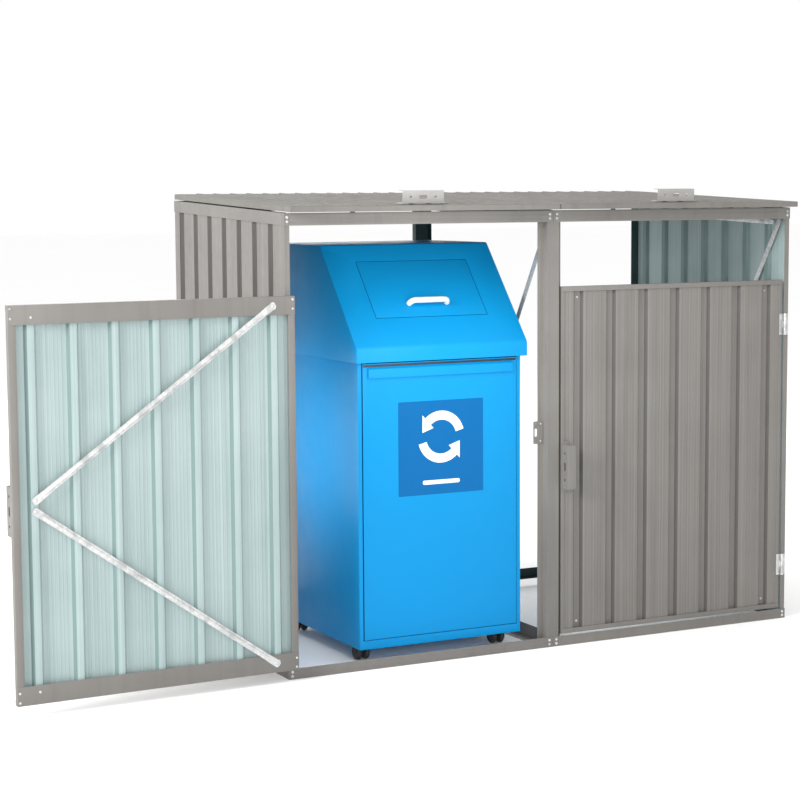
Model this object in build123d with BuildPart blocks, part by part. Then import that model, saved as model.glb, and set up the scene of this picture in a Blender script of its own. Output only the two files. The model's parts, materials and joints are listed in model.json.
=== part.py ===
"""Recycling bin station: a two-bay sheet-steel bin shed with one wheeled cabinet bin in its left bay.

Frame: +X to the right along the front, +Y from the front to the rear, +Z up, millimetres.
The origin is on the ground at the middle of the shed's footprint. The pieces are drawn from the
shed's front left corner and moved to the origin as they are saved.
The left door stands open and everything else is closed.
"""
from build123d import *
import math
import os

# ---------------------------------------------------------------- shed, overall
shed_width = 1700.0
shed_depth = 836.0
front_height = 1284.0
rear_rise = 33.0

# ---------------------------------------------------------------- shed, stock
steel = 1.5
sheet = 1.2
rail_flange = 26.0
side_rail_flange = 20.0
base_rail_height = 30.0
top_rail_height = 34.0
middle_rail_height = 40.0
middle_rail_flange = 36.0
rail_seam = 2.0
rear_rail_lift = 28.0
rear_rail_height = 32.0

# ---------------------------------------------------------------- posts
post_front_flange = 17.0
post_side_flange = 62.0
rear_post_side_flange = 40.0
rear_post_back_flange = 30.0
middle_post_face = 39.0
middle_post_depth = 25.5
middle_post_lip = 19.0
rear_middle_post_face = 58.0
rear_middle_post_depth = 24.0

# ---------------------------------------------------------------- corrugated sheet
groove_pitch = 113.0
groove_mouth = 34.0
groove_floor = 18.0
groove_depth = 9.0
wall_first_groove = 100.0
wall_edge_gap = 4.0
wall_end_gap = 6.0

# ---------------------------------------------------------------- doors
door_middle_gap = 28.0
door_floor_gap = 5.0
door_head_gap = 222.0
door_setback = 2.0
door_side_gap = 23.0
door_depth = 20.0
door_first_groove = 60.5
channel_outer_lip = 14.0
channel_inner_flange = 50.0
stile_outer_lip = 12.0
stile_inner_flange = 20.0
door_open_angle = 178.0
brace_width = 20.0
brace_corner = 6.5
brace_ridge_width = 12.0
brace_ridge_taper = 50.0
brace_rise = 3.0
brace_end = 26.0
brace_spacer_radius = 5.0
brace_apex_spread = 28.0
brace_corner_inset = 66.0
brace_corner_rise = 25.0

# ---------------------------------------------------------------- hinges
pin_radius = 2.0
running_clearance = 0.05
knuckle_radius = 4.5
knuckle_gap = 0.5
door_hinge_height = 65.0
door_hinge_inset = 137.0
door_axis_inset = 18.5
door_axis_forward = 6.0
leaf_thickness = 2.0
leaf_width = 14.0
leaf_offset = 1.0
pin_head_radius = 3.6
pin_head_height = 1.5
lid_hinge_length = 70.0
lid_hinge_inset = 130.0
lid_leaf_drop = 2.0

# ---------------------------------------------------------------- lids
lid_side_gap = 2.0
lid_seam = 4.0
lid_overhang = 40.0
lid_lip = 16.0
lid_rest_gap = 4.0
lid_rib_pitch = 55.0
lid_rib_width = 14.0
lid_rib_top = 8.0
lid_rib_height = 3.0
lid_bar_width = 20.0
lid_bar_inset = 4.0
lid_axis_back = 5.0
lid_axis_rise = 2.0

# ---------------------------------------------------------------- handles
handle_length = 130.0
handle_foot_length = 150.0
handle_foot_width = 24.0
handle_height = 36.0
handle_grip = 28.0
handle_corner = 8.0
handle_hole = 4.0
handle_hole_spacing = 78.0
handle_slot_length = 26.0
handle_slot_width = 10.0
door_handle_drop = 13.5
door_handle_inset = 2.0

# ---------------------------------------------------------------- fasteners
bolt_shank = 2.5
bolt_clearance = 0.25
bolt_head_radius = 4.2
bolt_head_height = 1.8
bolt_spacing = 12.0
bolt_reach = 5.0
bolt_end = 1.0
screw_head_radius = 3.2
nut_height = 3.0
corner_bolt_inset = 10.0
seam_bolt_offset = 12.0

# ---------------------------------------------------------------- keeper plates and lid props
keeper_width = 33.0
keeper_height = 67.0
keeper_rise = 88.5
keeper_slot_width = 7.0
keeper_slot_height = 24.0
keeper_corner = 3.0
keeper_post_gap = 1.0
keeper_bolt_inset = 8.4
diagonal_width = 18.0
diagonal_thickness = 2.0
prop_width = 16.0
prop_thickness = 3.0
prop_length = 500.0
prop_pivot_back = 560.0
prop_pivot_drop = 46.0
prop_bracket_height = 24.0
prop_pin_radius = 4.0
prop_side_gap = 0.5
buffer_radius = 7.0

# ---------------------------------------------------------------- bin cabinet
bin_post_gap = 81.0
bin_front = 54.0
bin_width = 526.0
bin_depth = 560.0
bin_headroom = 96.0
bin_sheet = 2.0
bin_pan_lift = 17.0
hood_height = 324.0
hood_lap = 16.0
hood_band = 41.0
hood_front_overhang = 20.0
hood_side_overhang = 12.0
hood_slope_run = 240.0
hood_fit = 0.6
bin_door_border = 12.0
bin_door_sill = 25.0
bin_door_gap = 2.0
bin_door_return = 15.0
bin_door_proud = 2.0
bin_door_axis_inset = 8.0
bin_pivot_tab = 9.0
ledge_height = 32.0
ledge_drop = 9.0
ledge_proud = 7.0
ledge_side_inset = 16.0
flap_width = 362.0
flap_length = 206.0
flap_from_edge = 102.0
flap_gap = 1.5
flap_return = 10.0
flap_axis_depth = 5.0
flap_axis_inset = 10.0
flap_relief = 1.5
stub_radius = 3.0
ear_width = 4.0
ear_length = 12.0
ear_face_gap = 0.01
bar_handle_length = 139.0
bar_handle_radius = 7.0
bar_handle_rounding = 5.6
bar_handle_leg_radius = 5.6
bar_handle_leg_inset = 14.0
bar_handle_standoff = 24.0
bar_handle_rise = 48.0
liner_gap = 22.0
liner_wall = 2.5
liner_drop = 80.0

# ---------------------------------------------------------------- casters
wheel_radius = 24.0
wheel_width = 17.0
wheel_gap = 10.0
caster_web = 8.0
caster_trail = 12.0
axle_radius = 3.0
stem_radius = 4.0
swivel_radius = 8.0
caster_plate = 50.0
caster_plate_thickness = 3.0
caster_plate_corner = 6.0
caster_stack = 14.0
caster_crown_gap = 1.0
caster_crown = 3.0
stem_gap = 0.5
wheel_doming = 13.6
caster_side_inset = 40.0
caster_end_inset = 65.0

# ---------------------------------------------------------------- values that follow from the ones above
rear_height = front_height + rear_rise
roof_angle = math.degrees(math.atan2(rear_rise, shed_depth))
centre = shed_width / 2
door_width = centre - door_side_gap - door_middle_gap
door_bottom = base_rail_height + door_floor_gap
door_top = front_height - door_head_gap
door_middle = (door_bottom + door_top) / 2
keeper_level = door_middle + keeper_rise
door_handle_level = door_middle - door_handle_drop
door_hinge_levels = (door_bottom + door_hinge_inset, door_top - door_hinge_inset)
mirror_plane = Plane.YZ.offset(centre)
right_door_left = shed_width - door_side_gap - door_width
door_back = door_setback + door_depth
left_hinge_axis = Axis((door_axis_inset, -door_axis_forward, 0), (0, 0, 1))
bay_width = centre - rail_seam / 2
lid_width = centre - lid_side_gap - lid_seam / 2
lid_plane = Plane(
    origin=(0, 0, front_height + lid_rest_gap),
    x_dir=(1, 0, 0),
    z_dir=(0, -math.sin(math.radians(roof_angle)), math.cos(math.radians(roof_angle))),
)
roof_length = shed_depth / math.cos(math.radians(roof_angle))
lid_axis_y = shed_depth + lid_axis_back
lid_axis_z = rear_height + lid_axis_rise
bin_right = centre - bin_post_gap
bin_left = bin_right - bin_width
bin_back = bin_front + bin_depth
bin_centre = bin_left + bin_width / 2
pan_level = 2 * wheel_radius + caster_stack
bin_bottom = pan_level - bin_pan_lift
bin_top = front_height - bin_headroom
hood_bottom = bin_top - hood_height
body_top = hood_bottom + hood_lap
bin_door_head = hood_bottom - bin_sheet
liner_top = hood_bottom - liner_drop
hood_front = bin_front - hood_front_overhang
hood_left = bin_left - hood_side_overhang
hood_width = bin_width + 2 * hood_side_overhang
hood_back = bin_back + hood_side_overhang
hood_rise = hood_height - hood_band
slope_plane = Plane(
    origin=(bin_centre, hood_front, hood_bottom + hood_band),
    x_dir=(1, 0, 0),
    z_dir=(0, -hood_rise, hood_slope_run),
)

LOW = (Align.MIN, Align.MIN, Align.MIN)


def roof_line(y):
    """Height of the sloping top of the frame at a distance y from the front."""
    return front_height + rear_rise * y / shed_depth


def slab(x0, y0, z0, x1, y1, z1):
    """A plain plate between two corners, added to the part that is being built."""
    with Locations((x0, y0, z0)):
        Box(x1 - x0, y1 - y0, z1 - z0, align=LOW)


def save(part, name):
    """Move a finished piece to the origin, label it and write it out."""
    placed = part.moved(Location((-centre, -shed_depth / 2, 0)))
    placed.label = name
    export_step(placed, f"parts/{name}.step")


def mirrored(part):
    """The same piece on the other side of the shed."""
    with BuildPart() as copy:
        mirror(part, about=mirror_plane)
    return copy.part


def opened(part):
    """A piece of the left door, swung from closed to its open rest position."""
    return part.rotate(left_hinge_axis, -door_open_angle)


# ================================================================ frame
def front_bolt_points():
    """Bolt centres on the shed's front face, as (x, z)."""
    columns = (
        corner_bolt_inset,
        centre - seam_bolt_offset,
        centre + seam_bolt_offset,
        shed_width - corner_bolt_inset,
    )
    levels = (base_rail_height / 2, front_height - top_rail_height / 2)
    return [
        (x, level + side * bolt_spacing / 2)
        for x in columns
        for level in levels
        for side in (-1, 1)
    ]


def drill_front(depth_from, depth_to):
    """Bolt holes through whatever lies between two depths behind the front face."""
    with BuildSketch(Plane.XZ.offset(-depth_from)) as holes:
        with Locations(*front_bolt_points()):
            Circle(bolt_shank + bolt_clearance)
    extrude(holes.sketch, amount=-(depth_to - depth_from), mode=Mode.SUBTRACT)


def front_base_rail_left():
    with BuildPart() as rail:
        slab(0, 0, 0, bay_width, steel, base_rail_height)
        slab(steel, steel, 0, bay_width, rail_flange, steel)
        drill_front(0, steel)
    return rail.part


def front_top_rail_left():
    with BuildPart() as rail:
        slab(0, 0, front_height - top_rail_height, bay_width, steel, front_height)
        slab(steel, steel, front_height - steel, bay_width, rail_flange, front_height)
        drill_front(0, steel)
    return rail.part


def rear_rail_left(bottom, height, flange_z, flange_start):
    """Rail across the back of the left bay: an angle whose flange points inwards."""
    back = shed_depth - steel
    with BuildPart() as rail:
        slab(0, back, bottom, bay_width, shed_depth, bottom + height)
        slab(flange_start, shed_depth - rail_flange, flange_z, bay_width, back, flange_z + steel)
    return rail.part


def rear_bottom_rail_left():
    return rear_rail_left(rear_rail_lift, rear_rail_height, rear_rail_lift, rear_post_back_flange)


def rear_top_rail_left():
    return rear_rail_left(rear_height - top_rail_height, top_rail_height, rear_height - steel, steel)


def left_base_rail():
    with BuildPart() as rail:
        slab(0, steel, 0, steel, shed_depth - steel, base_rail_height)
        slab(steel, rail_flange, 0, side_rail_flange, shed_depth - steel, steel)
    return rail.part


def middle_base_rail():
    with BuildPart() as rail:
        slab(centre, rail_flange, 0, centre + steel, shed_depth - steel, middle_rail_height)
        slab(centre - middle_rail_flange, rail_flange, 0, centre, shed_depth - steel, steel)
        with BuildSketch(Plane.YZ.offset(centre)):
            with Locations((shed_depth, rear_rail_lift + rear_rail_height / 2)):
                Rectangle(2 * rail_flange + 1, rear_rail_height + 1)
        extrude(amount=steel, mode=Mode.SUBTRACT)
    return rail.part


def sloping_bar(x0, x1, y0, y1, height):
    """A bar under the roof line, between two depths, added to the part being built."""
    with BuildSketch(Plane.YZ.offset(x0)) as side:
        with BuildLine():
            Polyline(
                (y0, roof_line(y0) - height),
                (y1, roof_line(y1) - height),
                (y1, roof_line(y1)),
                (y0, roof_line(y0)),
                close=True,
            )
        make_face()
    extrude(side.sketch, amount=x1 - x0)


def left_top_rail():
    with BuildPart() as rail:
        sloping_bar(0, steel, steel, shed_depth - steel, top_rail_height)
        sloping_bar(steel, side_rail_flange, rail_flange, shed_depth - rail_flange, steel)
    return rail.part


def middle_top_rail():
    half_flange = side_rail_flange / 2 + steel
    with BuildPart() as rail:
        sloping_bar(centre, centre + steel, rail_flange, shed_depth - rail_flange, top_rail_height)
        sloping_bar(centre - half_flange, centre, rail_flange, shed_depth - rail_flange, steel)
        sloping_bar(centre + steel, centre + half_flange, rail_flange, shed_depth - rail_flange, steel)
    return rail.part


def front_left_post():
    top = front_height - steel
    with BuildPart() as post:
        slab(steel, steel, steel, post_front_flange, 2 * steel, top)
        slab(steel, 2 * steel, steel, 2 * steel, post_side_flange, top)
        drill_front(steel, 2 * steel)
    return post.part


def front_middle_post():
    left = centre - middle_post_face / 2
    right = centre + middle_post_face / 2
    back = steel + middle_post_depth
    with BuildPart() as post:
        with BuildSketch(Plane.XY.offset(steel)):
            with BuildLine():
                Polyline(
                    (left, steel),
                    (right, steel),
                    (right, back - steel),
                    (right + middle_post_lip, back - steel),
                    (right + middle_post_lip, back),
                    (right - steel, back),
                    (right - steel, 2 * steel),
                    (left + steel, 2 * steel),
                    (left + steel, back),
                    (left - middle_post_lip, back),
                    (left - middle_post_lip, back - steel),
                    (left, back - steel),
                    close=True,
                )
            make_face()
        extrude(amount=front_height - 2 * steel)
        drill_front(steel, 2 * steel)
        with BuildSketch(Plane.XZ.offset(steel - back)):
            with Locations(*keeper_bolt_points()):
                Circle(bolt_shank + bolt_clearance)
        extrude(amount=-steel, mode=Mode.SUBTRACT)
    return post.part


def keeper_bolt_points():
    """Centres of the four keeper screws, as (x, z)."""
    across = middle_post_face / 2 + middle_post_lip / 2
    up = keeper_height / 2 - keeper_bolt_inset
    return [
        (centre + side * across, keeper_level + level * up)
        for side in (-1, 1)
        for level in (-1, 1)
    ]


def rear_left_post():
    back = shed_depth - steel
    with BuildPart() as post:
        slab(steel, back - steel, steel, rear_post_back_flange, back, rear_height - 2 * steel)
        slab(steel, back - rear_post_side_flange, steel, 2 * steel, back - steel, rear_height - 2 * steel)
        with BuildSketch(Plane.YZ.offset(steel)):
            with BuildLine():
                Polyline(
                    (back - rear_post_side_flange, roof_line(back - rear_post_side_flange) - steel),
                    (back, roof_line(back) - steel),
                    (back, rear_height),
                    (back - rear_post_side_flange, rear_height),
                    close=True,
                )
            make_face()
        extrude(amount=rear_post_back_flange, mode=Mode.SUBTRACT)
    return post.part


def rear_middle_post():
    half = rear_middle_post_face / 2
    back = shed_depth - steel
    front = back - rear_middle_post_depth
    foot = middle_rail_height
    top = rear_height - top_rail_height
    with BuildPart() as post:
        slab(centre - half, back - steel, foot, centre + half, back, top)
        slab(centre - half, front, foot, centre - half + steel, back - steel, top)
        slab(centre + half - steel, front, foot, centre + half, back - steel, top)
    return post.part


def groove_middles(first, end):
    """Middles of the grooves that fit whole before the end, from the first one on."""
    count = math.ceil((end - groove_mouth / 2 - first) / groove_pitch)
    return [first + number * groove_pitch for number in range(count)]


def groove_profile(start, end, first, face):
    """Closed outline of a sheet with trapezoid grooves pressed in from its face, from start to end."""
    slope_run = (groove_mouth - groove_floor) / 2
    spread = sheet * (math.hypot(slope_run, groove_depth) - slope_run) / groove_depth
    outer = [(start, face)]
    inner = [(start, face + sheet)]
    for middle in groove_middles(first, end):
        for side in (-1, 1):
            corners = [(groove_mouth / 2, face), (groove_floor / 2, face + groove_depth)]
            for half, across in corners[::-side]:
                outer.append((middle + side * half, across))
                inner.append((middle + side * (half + spread), across + sheet))
    outer.append((end, face))
    inner.append((end, face + sheet))
    return outer + inner[::-1]


def left_wall():
    face = 2 * steel
    edge = face + wall_edge_gap
    outline = groove_profile(edge, shed_depth - edge, wall_first_groove, face)
    with BuildPart() as wall:
        with BuildSketch(Plane.XY.offset(wall_end_gap)):
            with BuildLine():
                Polyline(*[(across, along) for along, across in outline], close=True)
            make_face()
        extrude(amount=rear_height)
        with BuildSketch(Plane.YZ):
            with BuildLine():
                Polyline(
                    (0, roof_line(0) - wall_end_gap),
                    (shed_depth, roof_line(shed_depth) - wall_end_gap),
                    (shed_depth, 2 * rear_height),
                    (0, 2 * rear_height),
                    close=True,
                )
            make_face()
        extrude(amount=face + groove_depth + sheet, mode=Mode.SUBTRACT)
    return wall.part


def diagonal_braces():
    """Flat strips from the front top corner down to the rear foot, one by each base rail."""
    top = (post_side_flange / 2, front_height - top_rail_height)
    foot = (shed_depth - rear_post_side_flange - diagonal_width, middle_rail_height / 2)
    run = math.hypot(foot[0] - top[0], foot[1] - top[1])
    along = ((foot[0] - top[0]) / run, (foot[1] - top[1]) / run)
    side = (-along[1] * diagonal_width / 2, along[0] * diagonal_width / 2)
    wall_x = 2 * steel + groove_depth + sheet
    planes = (wall_x, centre - diagonal_thickness, shed_width - wall_x - diagonal_thickness)
    with BuildPart() as braces:
        for x0 in planes:
            with BuildSketch(Plane.YZ.offset(x0)):
                with BuildLine():
                    Polyline(
                        (top[0] + side[0], top[1] + side[1]),
                        (foot[0] + side[0], foot[1] + side[1]),
                        (foot[0] - side[0], foot[1] - side[1]),
                        (top[0] - side[0], top[1] - side[1]),
                        close=True,
                    )
                make_face()
            extrude(amount=diagonal_thickness)
    return braces.part


def frame_bolts():
    """Pan-head bolts with their nuts, one solid each, through the front rails and posts."""
    with BuildPart() as bolts:
        with BuildSketch(Plane.XZ.offset(bolt_head_height)):
            with Locations(*front_bolt_points()):
                Circle(bolt_head_radius)
        extrude(amount=-bolt_head_height)
        with BuildSketch(Plane.XZ):
            with Locations(*front_bolt_points()):
                Circle(bolt_shank)
        extrude(amount=-(2 * steel + nut_height + bolt_end))
        with BuildSketch(Plane.XZ.offset(-2 * steel)):
            with Locations(*front_bolt_points()):
                RegularPolygon(bolt_head_radius, 6)
        extrude(amount=-nut_height)
    return bolts.part


def keeper_plates():
    """The two strike plates on the lips of the middle front post, one for each door."""
    face = middle_post_depth - steel
    inner = middle_post_face / 2 + keeper_post_gap
    with BuildPart() as plates:
        with BuildSketch(Plane.XZ.offset(-face)):
            for side in (-1, 1):
                middle = centre + side * (inner + keeper_width / 2)
                with Locations((middle, keeper_level)):
                    RectangleRounded(keeper_width, keeper_height, keeper_corner)
                with Locations((middle + side * keeper_width / 4, keeper_level)):
                    SlotOverall(keeper_slot_height, keeper_slot_width, rotation=90, mode=Mode.SUBTRACT)
            with Locations(*keeper_bolt_points()):
                Circle(bolt_shank + bolt_clearance, mode=Mode.SUBTRACT)
        extrude(amount=-steel)
    return plates.part


def keeper_bolts():
    """Short screws that hold the keeper plates."""
    face = middle_post_depth - steel
    with BuildPart() as bolts:
        with BuildSketch(Plane.XZ.offset(bolt_head_height / 2 - face)):
            with Locations(*keeper_bolt_points()):
                Circle(screw_head_radius)
        extrude(amount=-bolt_head_height / 2)
        with BuildSketch(Plane.XZ.offset(-face)):
            with Locations(*keeper_bolt_points()):
                Circle(bolt_shank)
        extrude(amount=-bolt_reach)
    return bolts.part


# ================================================================ hinges
def knuckle_spans(length):
    """The three barrels of a hinge along its pin, as (start, end), centred on zero."""
    barrel = (length - 2 * knuckle_gap) / 3
    starts = [index * (barrel + knuckle_gap) - length / 2 for index in range(3)]
    return [(start, start + barrel) for start in starts]


def door_leaf(level, moving):
    """One leaf of a left door hinge in the closed position, added to the part being built."""
    spans = knuckle_spans(door_hinge_height)
    barrels = spans[1:2] if moving else (spans[0], spans[2])
    spot = (door_axis_inset, -door_axis_forward)
    plate_y = door_setback - leaf_thickness + steel if moving else steel - leaf_thickness
    outward = 1 if moving else -1
    edge = door_axis_inset + outward * leaf_offset
    plate_start = edge + outward * leaf_thickness
    x0, x1 = sorted((edge, edge + outward * leaf_width))
    b0, b1 = sorted((edge, plate_start))
    half = door_hinge_height / 2
    slab(x0, plate_y, level - half, x1, plate_y + leaf_thickness, level + half)
    for start, end in barrels:
        with BuildSketch(Plane.XY.offset(level + start)) as barrel:
            with Locations(spot):
                Circle(knuckle_radius)
            with Locations(((b0 + b1) / 2, (plate_y + leaf_thickness - door_axis_forward) / 2)):
                Rectangle(leaf_thickness, plate_y + door_axis_forward + leaf_thickness)
        extrude(barrel.sketch, amount=end - start)
    with BuildSketch(Plane.XY.offset(level - door_hinge_height)) as bore:
        with Locations(spot):
            Circle(pin_radius + running_clearance)
    extrude(bore.sketch, amount=2 * door_hinge_height, mode=Mode.SUBTRACT)
    for start, end in (spans[0], spans[2]) if moving else spans[1:2]:
        with BuildSketch(Plane.XY.offset(level + start - knuckle_gap)) as clear:
            with Locations(spot):
                Circle(knuckle_radius + knuckle_gap)
        extrude(clear.sketch, amount=end - start + 2 * knuckle_gap, mode=Mode.SUBTRACT)


def door_hinge_leaves(moving):
    with BuildPart() as leaves:
        for level in door_hinge_levels:
            door_leaf(level, moving)
    return leaves.part


def door_hinge_pins():
    with BuildPart() as pins:
        for level in door_hinge_levels:
            top = level + door_hinge_height / 2
            with BuildSketch(Plane.XY.offset(level - door_hinge_height / 2)):
                with Locations((door_axis_inset, -door_axis_forward)):
                    Circle(pin_radius)
            extrude(amount=door_hinge_height)
            with BuildSketch(Plane.XY.offset(top)):
                with Locations((door_axis_inset, -door_axis_forward)):
                    Circle(pin_head_radius)
            extrude(amount=pin_head_height)
    return pins.part


# ================================================================ doors
def channel_points(outer_lip, inner_flange, front, back):
    """Section of a U channel that opens downwards, with its web on top at height zero."""
    return [
        (front, 0),
        (back, 0),
        (back, -inner_flange),
        (back - steel, -inner_flange),
        (back - steel, -steel),
        (front + steel, -steel),
        (front + steel, -outer_lip),
        (front, -outer_lip),
    ]


def door_channels(left):
    """The top and bottom channels of a closed door."""
    section = channel_points(channel_outer_lip, channel_inner_flange, door_setback, door_back)
    with BuildPart() as channels:
        for level, upward in ((door_top, 1), (door_bottom, -1)):
            with BuildSketch(Plane.YZ.offset(left)):
                with BuildLine():
                    Polyline(*[(y, level + upward * z) for y, z in section], close=True)
                make_face()
            extrude(amount=door_width)
    return channels.part


def door_stiles(left):
    """The side channels of a closed door, nested inside its top and bottom channels."""
    section = channel_points(stile_outer_lip, stile_inner_flange, door_setback + steel, door_back - steel)
    with BuildPart() as stiles:
        for edge, inward in ((left, 1), (left + door_width, -1)):
            with BuildSketch(Plane.XY.offset(door_bottom + steel)):
                with BuildLine():
                    Polyline(*[(edge - inward * z, y) for y, z in section], close=True)
                make_face()
            extrude(amount=door_top - door_bottom - 2 * steel)
    return stiles.part


def door_sheet(left):
    face = door_setback + 2 * steel
    start = left + 2 * steel
    outline = groove_profile(start, start + door_width - 4 * steel, left + door_first_groove, face)
    with BuildPart() as panel:
        with BuildSketch(Plane.XY.offset(door_bottom + 2 * steel)):
            with BuildLine():
                Polyline(*outline, close=True)
            make_face()
        extrude(amount=door_top - door_bottom - 4 * steel)
    return panel.part


def brace_ends(left, inward):
    """End points of a door's two strips, (x, z) each, from the hinge side to the groove by the free edge."""
    hinge_x = left + door_width - brace_corner_inset if inward > 0 else left + brace_corner_inset
    middles = groove_middles(left + door_first_groove, left + door_width - 2 * steel)
    apex_x = middles[0] if inward > 0 else middles[-1]
    return [
        ((hinge_x, door_top - brace_corner_rise), (apex_x, door_middle + brace_apex_spread / 2)),
        ((hinge_x, door_bottom + brace_corner_rise), (apex_x, door_middle - brace_apex_spread / 2)),
    ]


def door_braces(left, inward):
    """Two strips with a raised V along them and flat drilled ends, on the door's inner face."""
    with BuildPart() as braces:
        for start, end in brace_ends(left, inward):
            run = math.hypot(end[0] - start[0], end[1] - start[1])
            angle = math.degrees(math.atan2(end[1] - start[1], end[0] - start[0]))
            middle = ((start[0] + end[0]) / 2, (start[1] + end[1]) / 2)
            with BuildSketch(Plane.XZ.offset(-door_back)):
                with Locations(middle):
                    RectangleRounded(run + brace_width, brace_width, brace_corner, rotation=angle)
                with Locations(start, end):
                    Circle(bolt_shank + bolt_clearance, mode=Mode.SUBTRACT)
            extrude(amount=-steel)
            ridge = Plane(
                origin=(middle[0], door_back + steel, middle[1]),
                x_dir=(math.cos(math.radians(angle)), 0, math.sin(math.radians(angle))),
                z_dir=(0, 1, 0),
            )
            with BuildSketch(ridge):
                Rectangle(run - 2 * brace_end, brace_ridge_width)
            extrude(amount=brace_rise, taper=brace_ridge_taper)
    return braces.part


def door_screws(left, inward):
    """Screws at the ends of the strips, from the inside, with a spacer on the groove's back."""
    groove_back = door_setback + 2 * steel + groove_depth + sheet
    with BuildPart() as screws:
        for pair in brace_ends(left, inward):
            for spot in pair:
                with BuildSketch(Plane.XZ.offset(-(door_back + steel))):
                    with Locations(spot):
                        Circle(bolt_head_radius)
                extrude(amount=-bolt_head_height)
                with BuildSketch(Plane.XZ.offset(-door_back)):
                    with Locations(spot):
                        Circle(bolt_shank)
                extrude(amount=-steel)
            with BuildSketch(Plane.XZ.offset(-groove_back)):
                with Locations(pair[1]):
                    Circle(brace_spacer_radius)
            extrude(amount=-(door_back - groove_back))
    return screws.part


def handle(plane):
    """C-shaped pull: foot on the plane, web standing up from it, grip above the foot."""
    with BuildPart() as pull:
        with BuildSketch(Plane.XY):
            with Locations((0, handle_foot_width / 2)):
                RectangleRounded(handle_foot_length, handle_foot_width, handle_corner / 2)
        extrude(amount=steel)
        with BuildSketch(Plane.XZ):
            with Locations((0, handle_height / 2)):
                Rectangle(handle_length, handle_height)
                SlotOverall(handle_slot_length, handle_slot_width, mode=Mode.SUBTRACT)
            for side in (-1, 1):
                with Locations((side * handle_hole_spacing / 2, handle_height / 2)):
                    Circle(handle_hole, mode=Mode.SUBTRACT)
        extrude(amount=-steel)
        with BuildSketch(Plane.XY.offset(handle_height - steel)):
            with Locations((0, handle_grip / 2)):
                Rectangle(handle_length, handle_grip)
            corners = vertices().group_by(Axis.Y)[-1]
            fillet(corners, handle_corner)
        extrude(amount=steel)
    return pull.part.moved(plane.location)


def door_handle_plane(free_edge, inward):
    """Where a door's handle stands: on the door's outer face, its web along the free edge."""
    face = door_setback + steel
    return Plane(
        origin=(free_edge + inward * door_handle_inset, face, door_handle_level),
        x_dir=(0, 0, -inward),
        z_dir=(0, -1, 0),
    )


# ================================================================ lids
def lid_outline(left):
    """Closed section across a lid's sheet: flat with raised ribs, underside at the lip height."""
    right = left + lid_width
    count = int((lid_width - 2 * lid_rib_width) // lid_rib_pitch)
    first = (left + right) / 2 - (count - 1) * lid_rib_pitch / 2
    upper = [(left, lid_lip)]
    for index in range(count):
        middle = first + index * lid_rib_pitch
        upper.append((middle - lid_rib_width / 2, lid_lip))
        upper.append((middle - lid_rib_top / 2, lid_lip + lid_rib_height))
        upper.append((middle + lid_rib_top / 2, lid_lip + lid_rib_height))
        upper.append((middle + lid_rib_width / 2, lid_lip))
    upper.append((right, lid_lip))
    lower = [(x, z - sheet) for x, z in reversed(upper)]
    return upper + lower


def lid_box(x0, y0, z0, x1, y1, z1, mode=Mode.ADD):
    """A plate in the lid's sloping frame, added to the part being built or cut from it."""
    with BuildSketch(lid_plane.offset(z0)) as base:
        with Locations(((x0 + x1) / 2, (y0 + y1) / 2)):
            Rectangle(x1 - x0, y1 - y0)
    extrude(base.sketch, amount=z1 - z0, mode=mode)


def lid_skin(left):
    right = left + lid_width
    section_plane = Plane(
        origin=lid_plane.from_local_coords(Vector(0, roof_length, 0)),
        x_dir=(1, 0, 0),
        z_dir=-lid_plane.y_dir,
    )
    with BuildPart() as skin:
        with BuildSketch(section_plane):
            with BuildLine():
                Polyline(*lid_outline(left), close=True)
            make_face()
        extrude(amount=roof_length + lid_overhang)
        lid_box(left, -lid_overhang, 0, right, -lid_overhang + sheet, lid_lip)
        lid_box(left, roof_length - sheet, 0, right, roof_length, lid_lip)
        lid_box(left, -lid_overhang, 0, left + sheet, roof_length, lid_lip)
        lid_box(right - sheet, -lid_overhang, 0, right, roof_length, lid_lip)
    return skin.part


def lid_bars(left):
    """The four channel bars under a lid's sheet, as (x0, y0, x1, y1) in the lid's frame."""
    x0 = left + lid_bar_inset
    x1 = left + lid_width - lid_bar_inset
    y0 = lid_bar_inset
    y1 = roof_length - lid_bar_inset
    return [
        (x0, y0, x1, y0 + lid_bar_width),
        (x0, y1 - lid_bar_width, x1, y1),
        (x0, y0 + lid_bar_width, x0 + lid_bar_width, y1 - lid_bar_width),
        (x1 - lid_bar_width, y0 + lid_bar_width, x1, y1 - lid_bar_width),
    ]


def lid_frame(left):
    top = lid_lip - sheet
    with BuildPart() as bars:
        for x0, y0, x1, y1 in lid_bars(left):
            lid_box(x0, y0, 0, x1, y1, top)
        for x0, y0, x1, y1 in lid_bars(left):
            lid_box(x0 + steel, y0 + steel, steel, x1 - steel, y1 - steel, top, Mode.SUBTRACT)
    return bars.part


def lid_buffers():
    """Rubber discs on the front top rails that the closed lids rest on."""
    middle = lid_bar_inset + lid_bar_width / 2
    with BuildPart() as buffers:
        for x in (centre / 4, centre * 3 / 4, centre * 5 / 4, centre * 7 / 4):
            with BuildSketch(Plane.XY.offset(front_height)):
                with Locations((x, middle)):
                    Circle(buffer_radius)
            extrude(amount=lid_rest_gap)
    return buffers.part


def lid_hinge_spots():
    """Centres of the four lid hinges along X."""
    return (
        lid_hinge_inset,
        centre - lid_hinge_inset,
        centre + lid_hinge_inset,
        shed_width - lid_hinge_inset,
    )


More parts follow.
